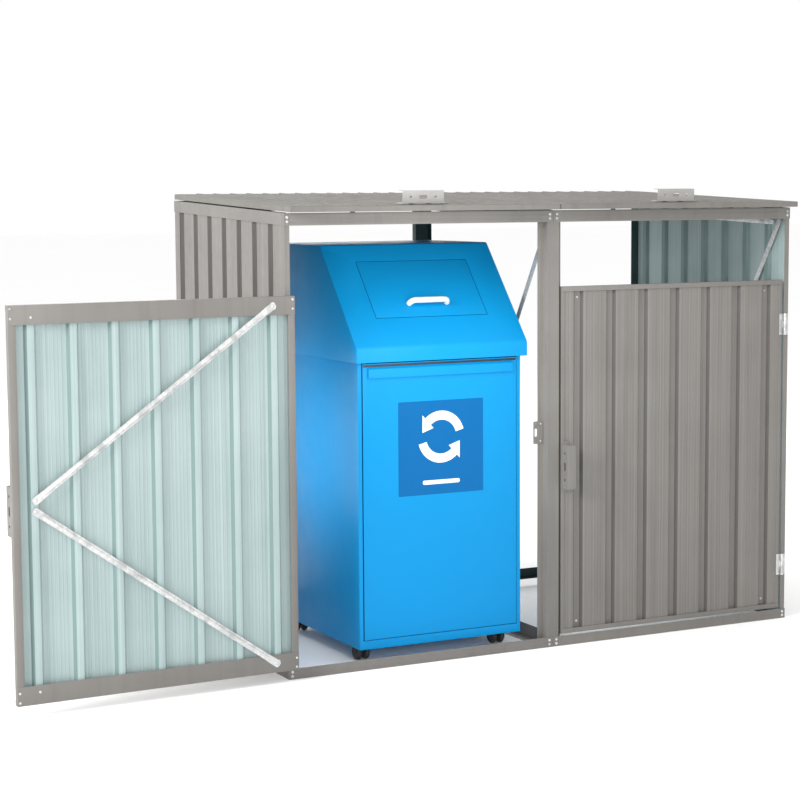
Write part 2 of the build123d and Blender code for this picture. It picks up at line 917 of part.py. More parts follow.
def lid_leaf(x, moving):
    """One leaf of a lid hinge, added to the part being built."""
    spans = knuckle_spans(lid_hinge_length)
    barrels = spans[1:2] if moving else (spans[0], spans[2])
    half = lid_hinge_length / 2
    if moving:
        z0, z1 = lid_axis_z + leaf_offset, lid_axis_z + lid_lip - lid_leaf_drop
    else:
        z0, z1 = lid_axis_z - leaf_offset - leaf_width, lid_axis_z - leaf_offset
    slab(x - half, shed_depth, z0, x + half, shed_depth + leaf_thickness, z1)
    bridge_z = z0 if moving else z1 - leaf_thickness
    for start, end in barrels:
        with BuildSketch(Plane.YZ.offset(x + start)) as barrel:
            with Locations((lid_axis_y, lid_axis_z)):
                Circle(knuckle_radius)
            with Locations((shed_depth + lid_axis_back / 2, bridge_z + leaf_thickness / 2)):
                Rectangle(lid_axis_back, leaf_thickness)
        extrude(barrel.sketch, amount=end - start)
    with BuildSketch(Plane.YZ.offset(x - lid_hinge_length)) as bore:
        with Locations((lid_axis_y, lid_axis_z)):
            Circle(pin_radius + running_clearance)
    extrude(bore.sketch, amount=2 * lid_hinge_length, mode=Mode.SUBTRACT)
    for start, end in (spans[0], spans[2]) if moving else spans[1:2]:
        with BuildSketch(Plane.YZ.offset(x + start - knuckle_gap)) as clear:
            with Locations((lid_axis_y, lid_axis_z)):
                Circle(knuckle_radius + knuckle_gap)
        extrude(clear.sketch, amount=end - start + 2 * knuckle_gap, mode=Mode.SUBTRACT)


def lid_hinge_leaves(spots, moving):
    with BuildPart() as leaves:
        for x in spots:
            lid_leaf(x, moving)
    return leaves.part


def lid_hinge_pins():
    with BuildPart() as pins:
        for x in lid_hinge_spots():
            with BuildSketch(Plane.YZ.offset(x - lid_hinge_length / 2)):
                with Locations((lid_axis_y, lid_axis_z)):
                    Circle(pin_radius)
            extrude(amount=lid_hinge_length)
            for start in (x - lid_hinge_length / 2 - pin_head_height, x + lid_hinge_length / 2):
                with BuildSketch(Plane.YZ.offset(start)):
                    with Locations((lid_axis_y, lid_axis_z)):
                        Circle(pin_head_radius)
                extrude(amount=pin_head_height)
    return pins.part


def lid_handle_plane(left):
    """Where a lid's handle stands: on the ribs, over the front top rail, web to the front."""
    spot = lid_plane.from_local_coords(Vector(left + lid_width / 2, 0, lid_lip + lid_rib_height))
    return Plane(origin=spot, x_dir=(1, 0, 0), z_dir=lid_plane.z_dir)


# ================================================================ lid props
def prop_pivot():
    """Pivot of the left lid's prop, as (y, z)."""
    return (prop_pivot_back, roof_line(prop_pivot_back) - prop_pivot_drop)


def prop_start():
    """The x at which the left prop's flat side begins, just inside its bracket."""
    return side_rail_flange + prop_side_gap


def left_prop_bracket():
    """Plate under the left top rail's flange with the pin that carries the prop."""
    y, z = prop_pivot()
    x0 = side_rail_flange - steel
    with BuildPart() as bracket:
        with BuildSketch(Plane.YZ.offset(x0)):
            with BuildLine():
                Polyline(
                    (y - prop_bracket_height / 2, z - prop_bracket_height / 2),
                    (y + prop_bracket_height / 2, z - prop_bracket_height / 2),
                    (y + prop_bracket_height / 2, roof_line(y + prop_bracket_height / 2) - steel),
                    (y - prop_bracket_height / 2, roof_line(y - prop_bracket_height / 2) - steel),
                    close=True,
                )
            make_face()
        extrude(amount=steel)
        with BuildSketch(Plane.YZ.offset(x0 + steel)):
            with Locations((y, z)):
                Circle(prop_pin_radius)
        extrude(amount=prop_thickness + 2 * prop_side_gap)
        with BuildSketch(Plane.YZ.offset(prop_start() + prop_thickness + prop_side_gap)):
            with Locations((y, z)):
                Circle(prop_pin_radius + steel)
        extrude(amount=steel)
    return bracket.part


def left_lid_prop():
    """Flat bar that lies forward along the top rail and swings up to hold the lid."""
    y, z = prop_pivot()
    direction = math.radians(180 - roof_angle)
    middle_y = y + math.cos(direction) * prop_length / 2
    middle_z = z - math.sin(direction) * prop_length / 2
    with BuildPart() as prop:
        with BuildSketch(Plane.YZ.offset(prop_start())):
            with Locations((middle_y, middle_z)):
                SlotOverall(prop_length + prop_width, prop_width, rotation=roof_angle)
            with Locations((y, z)):
                Circle(prop_pin_radius + running_clearance, mode=Mode.SUBTRACT)
        extrude(amount=prop_thickness)
    return prop.part


# ================================================================ bin
def bin_body():
    """Cabinet with sides, back, raised floor pan and a front border round its door opening."""
    inner_left = bin_left + bin_sheet
    inner_right = bin_right - bin_sheet
    inner_front = bin_front + bin_sheet
    inner_back = bin_back - bin_sheet
    opening_bottom = bin_bottom + bin_door_sill
    axis_x, axis_y = bin_door_axis()
    with BuildPart() as body:
        slab(bin_left, bin_front, bin_bottom, bin_right, bin_back, body_top)
        slab_cut(inner_left, inner_front, pan_level + bin_sheet, inner_right, inner_back, body_top)
        slab_cut(inner_left, inner_front, bin_bottom, inner_right, inner_back, pan_level)
        slab_cut(
            bin_left + bin_door_border, bin_front, opening_bottom,
            bin_right - bin_door_border, inner_front, bin_door_head,
        )
        for z in (bin_door_head, opening_bottom - bin_sheet):
            tab_x = axis_x + bin_pivot_tab
            slab(inner_left, inner_front, z, tab_x, axis_y + bin_pivot_tab, z + bin_sheet)
            slab(bin_left + bin_door_border, bin_front, z, tab_x, inner_front, z + bin_sheet)
            with BuildSketch(Plane.XY.offset(z)):
                with Locations((axis_x, axis_y)):
                    Circle(stub_radius + running_clearance)
            extrude(amount=bin_sheet, mode=Mode.SUBTRACT)
        with BuildSketch(Plane.XY.offset(pan_level)):
            with Locations(*caster_spots()):
                Circle(stem_radius + bolt_clearance)
        extrude(amount=bin_sheet, mode=Mode.SUBTRACT)
    return body.part


def slab_cut(x0, y0, z0, x1, y1, z1):
    """Take a plain block out of the part that is being built."""
    with Locations((x0, y0, z0)):
        Box(x1 - x0, y1 - y0, z1 - z0, align=LOW, mode=Mode.SUBTRACT)


def bin_door_axis():
    """The cabinet door's vertical pivot line, as (x, y)."""
    left = bin_left + bin_door_border + bin_door_gap
    return (left + bin_door_axis_inset, bin_front + bin_sheet)


def bin_door():
    """Front door panel with returned edges, a grip ledge across its top and two pivot stubs."""
    left = bin_left + bin_door_border + bin_door_gap
    right = bin_right - bin_door_border - bin_door_gap
    bottom = bin_bottom + bin_door_sill + bin_door_gap
    top = bin_door_head - bin_door_gap
    face = bin_front - bin_door_proud
    back = face + bin_door_return
    axis_x, axis_y = bin_door_axis()
    with BuildPart() as door:
        slab(left, face, bottom, right, back, top)
        slab_cut(
            left + bin_sheet, face + bin_sheet, bottom + bin_sheet,
            right - bin_sheet, back, top - bin_sheet,
        )
        with BuildSketch(Plane.YZ.offset(left + ledge_side_inset)):
            with BuildLine():
                Polyline(
                    (face, top - ledge_drop),
                    (face - ledge_proud, top - ledge_drop - ledge_proud),
                    (face - ledge_proud, top - ledge_drop - ledge_height),
                    (face, top - ledge_drop - ledge_height),
                    close=True,
                )
            make_face()
        extrude(amount=right - left - 2 * ledge_side_inset)
        stub_length = bin_door_gap + bin_sheet
        for z in (top, bottom - stub_length):
            with BuildSketch(Plane.XY.offset(z)):
                with Locations((axis_x, axis_y)):
                    Circle(stub_radius)
            extrude(amount=stub_length)
    return door.part


def hood_profile(inset):
    """Side outline of the hood, moved inwards by an inset."""
    slope = math.atan2(hood_rise, hood_slope_run)
    low_shift = inset * math.tan((math.pi / 2 - slope) / 2)
    high_shift = inset * math.tan(slope / 2)
    band_top = hood_bottom + hood_band
    return [
        (hood_front + inset, hood_bottom - inset),
        (hood_front + inset, band_top - low_shift),
        (hood_front + hood_slope_run + high_shift, bin_top - inset),
        (hood_back - inset, bin_top - inset),
        (hood_back - inset, hood_bottom - inset),
    ]


def bin_hood():
    """Sheet hood with a sloping front, open below, with ears for the flap's pivots."""
    flap_middle = flap_from_edge + flap_length / 2
    axis_s = flap_from_edge + flap_length - flap_axis_inset
    ear = slope_plane.offset(-flap_axis_depth)
    with BuildPart() as hood:
        with BuildSketch(Plane.YZ.offset(hood_left)):
            with BuildLine():
                Polyline(*hood_profile(0), close=True)
            make_face()
        extrude(amount=hood_width)
        with BuildSketch(Plane.YZ.offset(hood_left + bin_sheet)):
            with BuildLine():
                Polyline(*hood_profile(bin_sheet), close=True)
            make_face()
        extrude(amount=hood_width - 2 * bin_sheet, mode=Mode.SUBTRACT)
        with BuildSketch(slope_plane):
            with Locations((0, flap_middle)):
                Rectangle(flap_width, flap_length)
        extrude(amount=-2 * bin_sheet, mode=Mode.SUBTRACT)
        for side in (-1, 1):
            start = side * flap_width / 2 - (0 if side > 0 else ear_width)
            ear_side = Plane(
                origin=ear.from_local_coords(Vector(start, axis_s, 0)),
                x_dir=slope_plane.y_dir,
                z_dir=(1, 0, 0),
            )
            with BuildSketch(ear_side):
                Rectangle(ear_length, 2 * (flap_axis_depth - ear_face_gap))
                Circle(stub_radius + running_clearance, mode=Mode.SUBTRACT)
            extrude(amount=ear_width)
        rim_back = bin_back + hood_fit
        shelf = hood_bottom + bin_sheet
        slab(hood_left, rim_back, hood_bottom, hood_left + hood_width, hood_back, shelf)
        slab(hood_left, hood_front, hood_bottom, bin_left - hood_fit, hood_back, shelf)
        slab(bin_right + hood_fit, hood_front, hood_bottom, hood_left + hood_width, hood_back, shelf)
        hood_right = hood_left + hood_width
        ledge_top = body_top + bin_sheet
        slab(hood_left, bin_back - hood_side_overhang, body_top, hood_right, hood_back, ledge_top)
        slab(hood_left, hood_front + bin_sheet, body_top, hood_right, bin_front + bin_sheet, ledge_top)
    return hood.part


def flap_plane(s, depth=0.0):
    """The sloping face of the hood, moved up the slope by s and inwards by a depth."""
    return Plane(
        origin=slope_plane.from_local_coords(Vector(0, s, -depth)),
        x_dir=(1, 0, 0),
        z_dir=slope_plane.z_dir,
    )


def bin_flap():
    """Lift-up flap with returned edges and a pivot stub at each end of its top edge."""
    middle = flap_from_edge + flap_length / 2
    width = flap_width - 2 * flap_gap
    length = flap_length - 2 * flap_gap
    axis_s = flap_from_edge + flap_length - flap_axis_inset
    with BuildPart() as flap:
        with BuildSketch(flap_plane(middle)):
            Rectangle(width, length)
        extrude(amount=-flap_return)
        with BuildSketch(flap_plane(middle, bin_sheet)):
            Rectangle(width - 2 * bin_sheet, length - 2 * bin_sheet)
        extrude(amount=-flap_return, mode=Mode.SUBTRACT)
        for side in (-1, 1):
            start = width / 2 if side > 0 else -width / 2 - flap_gap - ear_width
            stub = Plane(
                origin=slope_plane.from_local_coords(Vector(start, axis_s, -flap_axis_depth)),
                x_dir=slope_plane.y_dir,
                z_dir=(1, 0, 0),
            )
            with BuildSketch(stub):
                Circle(stub_radius)
            extrude(amount=flap_gap + ear_width)
        with BuildSketch(flap_plane(middle, flap_return)):
            with Locations((0, length / 2)):
                Rectangle(width, 2 * flap_axis_depth)
        extrude(amount=flap_relief, mode=Mode.SUBTRACT)
    return flap.part


def bin_flap_handle():
    """Rounded bar on two short legs, near the flap's lower edge."""
    base = flap_plane(flap_from_edge + bar_handle_rise)
    leg_spacing = bar_handle_length - 2 * bar_handle_leg_inset
    bar = Plane(
        origin=slope_plane.from_local_coords(
            Vector(-bar_handle_length / 2, flap_from_edge + bar_handle_rise, bar_handle_standoff)
        ),
        x_dir=slope_plane.y_dir,
        z_dir=(1, 0, 0),
    )
    with BuildPart() as pull:
        with BuildSketch(bar):
            Circle(bar_handle_radius)
        extrude(amount=bar_handle_length)
        fillet(edges().filter_by(GeomType.CIRCLE), bar_handle_rounding)
        with BuildSketch(base):
            with Locations((-leg_spacing / 2, 0), (leg_spacing / 2, 0)):
                Circle(bar_handle_leg_radius)
        extrude(amount=bar_handle_standoff)
    return pull.part


def bin_liner():
    """Open-topped inner container that stands on the cabinet's floor pan."""
    base = pan_level + bin_sheet
    x0 = bin_left + bin_sheet + liner_gap
    x1 = bin_right - bin_sheet - liner_gap
    y0 = bin_front + bin_sheet + liner_gap
    y1 = bin_back - bin_sheet - liner_gap
    with BuildPart() as liner:
        slab(x0, y0, base, x1, y1, liner_top)
        fillet(edges().filter_by(Axis.Z), liner_gap)
        offset(amount=-liner_wall, openings=faces().sort_by(Axis.Z)[-1])
    return liner.part


def caster_spots():
    """Stem centres of the four casters, as (x, y): front left, front right, rear left, rear right."""
    xs = (bin_left + caster_side_inset, bin_right - caster_side_inset)
    ys = (bin_front + caster_end_inset, bin_back - caster_end_inset)
    return [(x, y) for y in ys for x in xs]


def caster_plates():
    """Mounting plates under the floor pan, each with its swivel stem."""
    stem_foot = 2 * wheel_radius + caster_crown_gap + 2 * stem_gap
    with BuildPart() as plates:
        with BuildSketch(Plane.XY.offset(pan_level - caster_plate_thickness)):
            with Locations(*caster_spots()):
                RectangleRounded(caster_plate, caster_plate, caster_plate_corner)
        extrude(amount=caster_plate_thickness)
        with BuildSketch(Plane.XY.offset(stem_foot)):
            with Locations(*caster_spots()):
                Circle(stem_radius)
        extrude(amount=pan_level - stem_foot)
    return plates.part


def caster_swivel(x, y):
    """Swivel body of a caster: a collar round the stem and a thin web down between the wheels."""
    low = 2 * wheel_radius + caster_crown_gap
    high = pan_level - caster_plate_thickness - running_clearance
    with BuildPart() as swivel:
        with BuildSketch(Plane.XY.offset(low)):
            with Locations((x, y)):
                Circle(swivel_radius)
        extrude(amount=high - low)
        with BuildSketch(Plane.XY.offset(low)):
            with Locations((x, y + caster_trail / 2)):
                Rectangle(caster_web, caster_trail + 2 * swivel_radius)
        extrude(amount=caster_crown)
        with BuildSketch(Plane.YZ.offset(x - caster_web / 2)):
            with BuildLine():
                Polyline(
                    (y - swivel_radius, low + caster_crown),
                    (y + caster_trail - 2 * axle_radius, wheel_radius - 2 * axle_radius),
                    (y + caster_trail + 2 * axle_radius, wheel_radius - 2 * axle_radius),
                    (y + caster_trail + swivel_radius, low + caster_crown),
                    close=True,
                )
            make_face()
            with Locations((y + caster_trail, wheel_radius)):
                Circle(axle_radius + running_clearance, mode=Mode.SUBTRACT)
        extrude(amount=caster_web)
        with BuildSketch(Plane.XY.offset(low + stem_gap)):
            with Locations((x, y)):
                Circle(stem_radius + running_clearance)
        extrude(amount=high, mode=Mode.SUBTRACT)
    return swivel.part


def caster_wheels(x, y):
    """Twin domed wheels on one axle."""
    axle_y = y + caster_trail
    half = wheel_gap / 2
    with BuildPart() as wheels:
        with BuildSketch(Plane.YZ.offset(x - half - wheel_width)):
            with Locations((axle_y, wheel_radius)):
                Circle(wheel_radius)
        extrude(amount=2 * wheel_width + wheel_gap)
        fillet(edges().filter_by(GeomType.CIRCLE), wheel_doming)
        with BuildSketch(Plane.YZ.offset(x - half)):
            with Locations((axle_y, wheel_radius)):
                Circle(2 * wheel_radius)
                Circle(axle_radius, mode=Mode.SUBTRACT)
        extrude(amount=wheel_gap, mode=Mode.SUBTRACT)
    return wheels.part


# ================================================================ build everything
def together(*pieces):
    """Separate pieces of one kind, written as one node."""
    with BuildPart() as group:
        for piece in pieces:
            add(piece)
    return group.part


def both_sides(left):
    """A left piece and its mirror image, written as one node."""
    return together(left, mirrored(left))


def build_frame():
    save(both_sides(front_base_rail_left()), "front_base_rails")
    save(both_sides(front_top_rail_left()), "front_top_rails")
    save(both_sides(left_base_rail()), "side_base_rails")
    save(both_sides(left_top_rail()), "side_top_rails")
    save(both_sides(rear_left_post()), "rear_corner_posts")
    save(middle_base_rail(), "middle_base_rail")
    save(middle_top_rail(), "middle_top_rail")
    save(both_sides(rear_bottom_rail_left()), "rear_bottom_rails")
    save(both_sides(rear_top_rail_left()), "rear_top_rails")
    save(front_left_post(), "front_left_post")
    save(mirrored(front_left_post()), "front_right_post")
    save(front_middle_post(), "front_middle_post")
    save(rear_middle_post(), "rear_middle_post")
    save(left_wall(), "left_wall")
    save(mirrored(left_wall()), "right_wall")
    save(diagonal_braces(), "diagonal_braces")
    save(together(frame_bolts(), keeper_bolts()), "frame_bolts")
    save(keeper_plates(), "keeper_plates")


def build_doors():
    save(both_sides(door_hinge_leaves(False)), "door_hinge_post_leaves")
    save(together(both_sides(door_hinge_pins()), lid_hinge_pins()), "hinge_pins")
    moving_leaves = door_hinge_leaves(True)
    left_edge = door_side_gap + door_width
    left_pieces = {
        "sheet": door_sheet(door_side_gap),
        "frame": together(door_channels(door_side_gap), door_stiles(door_side_gap)),
        "braces": door_braces(door_side_gap, -1),
        "screws": door_screws(door_side_gap, -1),
        "handle": handle(door_handle_plane(left_edge, -1)),
        "hinge_leaves": moving_leaves,
    }
    for name, piece in left_pieces.items():
        save(opened(piece), f"left_door_{name}")
    right_pieces = {
        "sheet": door_sheet(right_door_left),
        "frame": together(door_channels(right_door_left), door_stiles(right_door_left)),
        "braces": door_braces(right_door_left, 1),
        "screws": door_screws(right_door_left, 1),
        "handle": handle(door_handle_plane(right_door_left, 1)),
        "hinge_leaves": mirrored(moving_leaves),
    }
    for name, piece in right_pieces.items():
        save(piece, f"right_door_{name}")


def build_lids():
    spots = lid_hinge_spots()
    save(lid_hinge_leaves(spots, False), "lid_hinge_rail_leaves")
    save(lid_buffers(), "lid_buffers")
    lefts = {"left": lid_side_gap, "right": centre + lid_seam / 2}
    for index, (side, left) in enumerate(lefts.items()):
        save(lid_skin(left), f"{side}_lid_skin")
        save(lid_frame(left), f"{side}_lid_frame")
        save(handle(lid_handle_plane(left)), f"{side}_lid_handle")
        save(lid_hinge_leaves(spots[2 * index:2 * index + 2], True), f"{side}_lid_hinge_leaves")
    save(both_sides(left_prop_bracket()), "lid_prop_brackets")
    save(left_lid_prop(), "left_lid_prop")
    save(mirrored(left_lid_prop()), "right_lid_prop")


def build_bin():
    save(bin_body(), "bin_body")
    save(bin_hood(), "bin_hood")
    save(bin_door(), "bin_door")
    save(bin_flap(), "bin_flap")
    save(bin_flap_handle(), "bin_flap_handle")
    save(bin_liner(), "bin_liner")
    save(caster_plates(), "caster_plates")
    names = ("front_left", "front_right", "rear_left", "rear_right")
    for name, (x, y) in zip(names, caster_spots()):
        save(caster_swivel(x, y), f"{name}_caster_swivel")
        save(caster_wheels(x, y), f"{name}_caster_wheels")


os.makedirs("parts", exist_ok=True)
build_frame()
build_doors()
build_lids()
build_bin()
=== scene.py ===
"""Looks of the recycling bin station: painted sheet-steel shed and a blue powder-coated bin.

Metres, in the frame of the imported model: +X to the right along the front, +Y to the rear, +Z up.
"""
import json
import math

import bmesh
import bpy
from mathutils import Matrix, Vector

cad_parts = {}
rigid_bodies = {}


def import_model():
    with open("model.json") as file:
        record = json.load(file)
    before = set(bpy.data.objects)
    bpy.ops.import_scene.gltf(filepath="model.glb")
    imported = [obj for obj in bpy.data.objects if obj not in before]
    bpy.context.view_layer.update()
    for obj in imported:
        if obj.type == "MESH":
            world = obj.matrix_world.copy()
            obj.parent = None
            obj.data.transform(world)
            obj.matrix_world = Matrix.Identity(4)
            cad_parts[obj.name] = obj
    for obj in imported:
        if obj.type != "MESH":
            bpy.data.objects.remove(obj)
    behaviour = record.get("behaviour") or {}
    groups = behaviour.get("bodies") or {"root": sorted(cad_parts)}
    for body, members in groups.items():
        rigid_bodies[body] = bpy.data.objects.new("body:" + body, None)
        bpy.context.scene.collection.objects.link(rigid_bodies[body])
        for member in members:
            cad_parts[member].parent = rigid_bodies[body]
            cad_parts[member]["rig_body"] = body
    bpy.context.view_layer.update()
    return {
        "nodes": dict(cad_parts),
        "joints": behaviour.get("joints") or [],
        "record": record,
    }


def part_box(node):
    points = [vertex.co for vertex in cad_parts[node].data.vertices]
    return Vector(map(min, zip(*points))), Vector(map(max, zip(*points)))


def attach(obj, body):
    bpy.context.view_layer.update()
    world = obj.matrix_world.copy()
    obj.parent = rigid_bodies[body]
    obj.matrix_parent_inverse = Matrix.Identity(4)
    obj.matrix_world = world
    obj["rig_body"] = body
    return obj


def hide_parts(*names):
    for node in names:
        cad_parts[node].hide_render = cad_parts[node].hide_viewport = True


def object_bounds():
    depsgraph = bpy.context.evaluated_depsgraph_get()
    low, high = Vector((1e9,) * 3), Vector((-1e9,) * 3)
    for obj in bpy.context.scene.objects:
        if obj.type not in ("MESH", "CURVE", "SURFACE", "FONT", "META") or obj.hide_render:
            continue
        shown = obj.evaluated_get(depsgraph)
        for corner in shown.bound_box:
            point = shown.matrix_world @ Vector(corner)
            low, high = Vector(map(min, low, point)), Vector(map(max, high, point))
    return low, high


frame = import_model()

# ---------------------------------------------------------------- sizes
STEEL = 0.0015
SHEET = 0.0012
FOLD_RADIUS = 0.0022

GROOVE_PITCH = 0.113
GROOVE_MOUTH = 0.034
GROOVE_FLOOR = 0.018
GROOVE_DEPTH = 0.009
GROOVE_STEPS = 8
SHADE_EDGE = 0.0004
PIN_STRIPE_PITCH = 0.0105
PIN_STRIPE_WIDTH = 0.0032
PIN_STRIPE_DEPTH = 0.0003
PIN_STRIPE_MARGIN = 0.006
PIN_STRIPE_STEPS = 3
DOOR_FIRST_GROOVE = 0.0575
WALL_FIRST_GROOVE = 0.093
# Strength of the painted shade in the grooves: on one slope for the doors, over the whole groove for the
# walls.
DOOR_GROOVE_SHADE = 0.85
WALL_GROOVE_SHADE = 0.90

LID_RIB_PITCH = 0.055
LID_RIB_WIDTH = 0.014
LID_RIB_HEIGHT = 0.003
LID_RIB_RAMP = 0.014
LID_OVERHANG = 0.040
LID_REAR_MARGIN = 0.012
LID_LIP = 0.016

BRACE_WIDTH = 0.020
BRACE_RISE = 0.003
BRACE_TAB = 0.016
BRACE_FLAT = BRACE_TAB * 1.3
BRACE_RAMP = 0.030
BRACE_CORNER_INSET = 0.066
BRACE_CORNER_RISE = 0.025
BRACE_SPACER_RADIUS = 0.005
BRACE_APEX_SPREAD = 0.028
# Across a strip: share of its half width, share of its rise.
BRACE_SECTION = (
    (-1.0, 0.0), (-0.82, 0.10), (-0.66, 0.0), (-0.30, 0.62), (-0.10, 0.94), (0.0, 1.0),
    (0.10, 0.94), (0.30, 0.62), (0.66, 0.0), (0.82, 0.10), (1.0, 0.0),
)

# Heads of fasteners as radius, height.
BOLT_HEAD = (0.0042, 0.0018)
KEEPER_SCREW_HEAD = (0.0032, 0.0016)
CORNER_SCREW_HEAD = (0.0036, 0.0020)
CORNER_SCREW_END = (0.0036, 0.0014)
RIVET_HEAD = (0.0032, 0.0010)
# Half section of a hexagon nut with its bolt's end, as radius, height.
NUT_PROFILE = (
    (0.0042, 0.0), (0.0042, 0.0026), (0.0037, 0.0030), (0.0026, 0.0030), (0.0024, 0.0042), (0.0, 0.0042),
)
BOLT_INSET = 0.010
SEAM_BOLT_OFFSET = 0.012
BOLT_SPACING = 0.012
BASE_RAIL_HEIGHT = 0.030
TOP_RAIL_HEIGHT = 0.034
RIVET_INSET = 0.0065
RIVET_LEVELS = (0.009, 0.034)
DOOR_SCREW_INSET = 0.0605
DOOR_SCREW_DROP = 0.032
KEEPER_SCREW_SHARE = 0.75
KEEPER_SCREW_INSET = 0.0084

# How far each kind of piece has its edges rounded.
SHEET_EDGE = 0.0005
STRIP_EDGE = 0.0004
BENT_EDGE = 0.0006
BUFFER_EDGE = 0.001
BIN_EDGE = 0.0009
PANEL_EDGE = 0.0012
LINER_EDGE = 0.0010

HOOD_BAND = 0.041
HOOD_SLOPE_RUN = 0.240
HOOD_BEND = 0.006
HOOD_CREASE_REACH = 0.005
SHORTEST_CREASE = 0.3
LEVEL_TOLERANCE = 1e-5
FLAP_CUT_REACH = 0.004
FACING_COSINE = 0.90
DOOR_FOOT_HEIGHT = 0.05

LABEL_WIDTH = 0.275
LABEL_HEIGHT = 0.270
LABEL_THICKNESS = 0.0004
LABEL_MIDDLE_UP = 0.543
LABEL_CORNER = 0.002
LOOP_UP = 0.030
LOOP_STARTS = (("loop_arrow_upper", 15), ("loop_arrow_lower", 195))
ARROW_SWEEP = 118
ARROW_STEPS = 18
ARROW_HEAD_TURN = 34
ARROW_HEAD_FLARE = 0.013
LABEL_BAR_DOWN = 0.100
LABEL_BAR_WIDTH = 0.120
LABEL_BAR_HEIGHT = 0.012
LABEL_BAR_CORNER = 0.005
MARK_RADIUS = 0.062
MARK_STROKE = 0.026
MARK_THICKNESS = 0.0003

BAR_RADIUS = 0.0085
BAR_BEND = 0.016
BAR_BEND_STEPS = 6
BAR_FOOT = 0.001
BAR_SETBACK = 0.016

# A black strip at the top of the bin's door: painted shadow under the hood's overhang.
SHADOW_STRIP_LEVEL = 0.7855
SHADOW_STRIP_HEIGHT = 0.0060
SHADOW_STRIP_THICKNESS = 0.0006
SHADOW_STRIP_END_GAP = 0.002

WHEEL_GAP = 0.005
HUB_REACH = 1.02
AXLE_RADIUS = 0.003

# ---------------------------------------------------------------- colours, linear
TAUPE = (0.176, 0.168, 0.156)
TAUPE_GRIME = (0.080, 0.072, 0.065)
# The _SHADE colours are painted shade for the sheets' grooves and fine dark lines; the mint's clouds and
# streaks use its shade colour too.
TAUPE_SHADE = (0.045, 0.041, 0.037)
MINT = (0.290, 0.362, 0.358)
MINT_SHADE = (0.105, 0.165, 0.160)
# Dark teal of the frame's inner faces: a teal coat, darkened as painted shade of the backlit inside.
SHADED_TEAL = (0.027, 0.054, 0.054)
TEAL_GRIME = (0.008, 0.018, 0.018)
ZINC = (0.62, 0.62, 0.61)
ZINC_DARK = (0.30, 0.31, 0.31)
HANDLE_GREY = (0.330, 0.320, 0.305)
BLUE = (0.003, 0.242, 0.530)
# A darker blue: painted shade low on the bin, and random clouds.
BLUE_DEEP = (0.001, 0.222, 0.510)
LABEL_BLUE = (0.000, 0.105, 0.300)
# Dark blue on the rims of the flap, its opening and the bin's door: painted shadow of the gaps round them.
SHADOW_GAP_BLUE = (0.001, 0.055, 0.190)
WHITE = (0.66, 0.66, 0.66)
BLACK = (0.018, 0.018, 0.020)
LINER_GREY = (0.060, 0.064, 0.068)
FLOOR = (0.97, 0.97, 0.97)

# ---------------------------------------------------------------- camera and lights
VIEW_FROM = (-3.0142, -5.3680, 1.3354)
VIEW_YAW = 26.911
VIEW_PITCH = 5.925
VIEW_ROLL = -0.373
LENS = 89.65
SENSOR = 36.0
CLIP_END = 200

FLOOR_HALF = 60.0
MIDDLE = (0.0, 0.0, 0.7)
# Name, place, target, diameter, power.
LIGHTS = (
    ("key", (-7.5, -2.4, 3.8), MIDDLE, 3.0, 620),
    ("front", (-3.2, -6.2, 1.6), MIDDLE, 2.0, 150),
    ("back", (1.5, 6.0, 4.0), MIDDLE, 5.0, 150),
)
# Soft lights near the bin; the camera doesn't see them.
FILL_LIGHTS = (
    ("bay", (-0.830, -0.06, 0.60), (0.0, -0.06, 0.60), 0.5, 1.4),
    ("hood", (-0.420, -0.85, 1.02), (-0.345, -0.25, 0.98), 0.5, 1.8),
)

NODES = frame["nodes"]
SLOT_OF = {part["node"]: part["material_slot"] for part in frame["record"]["subparts"]}
JOINTS = {joint["name"]: joint for joint in frame["joints"]}
SMOOTH_ANGLE = math.radians(32)


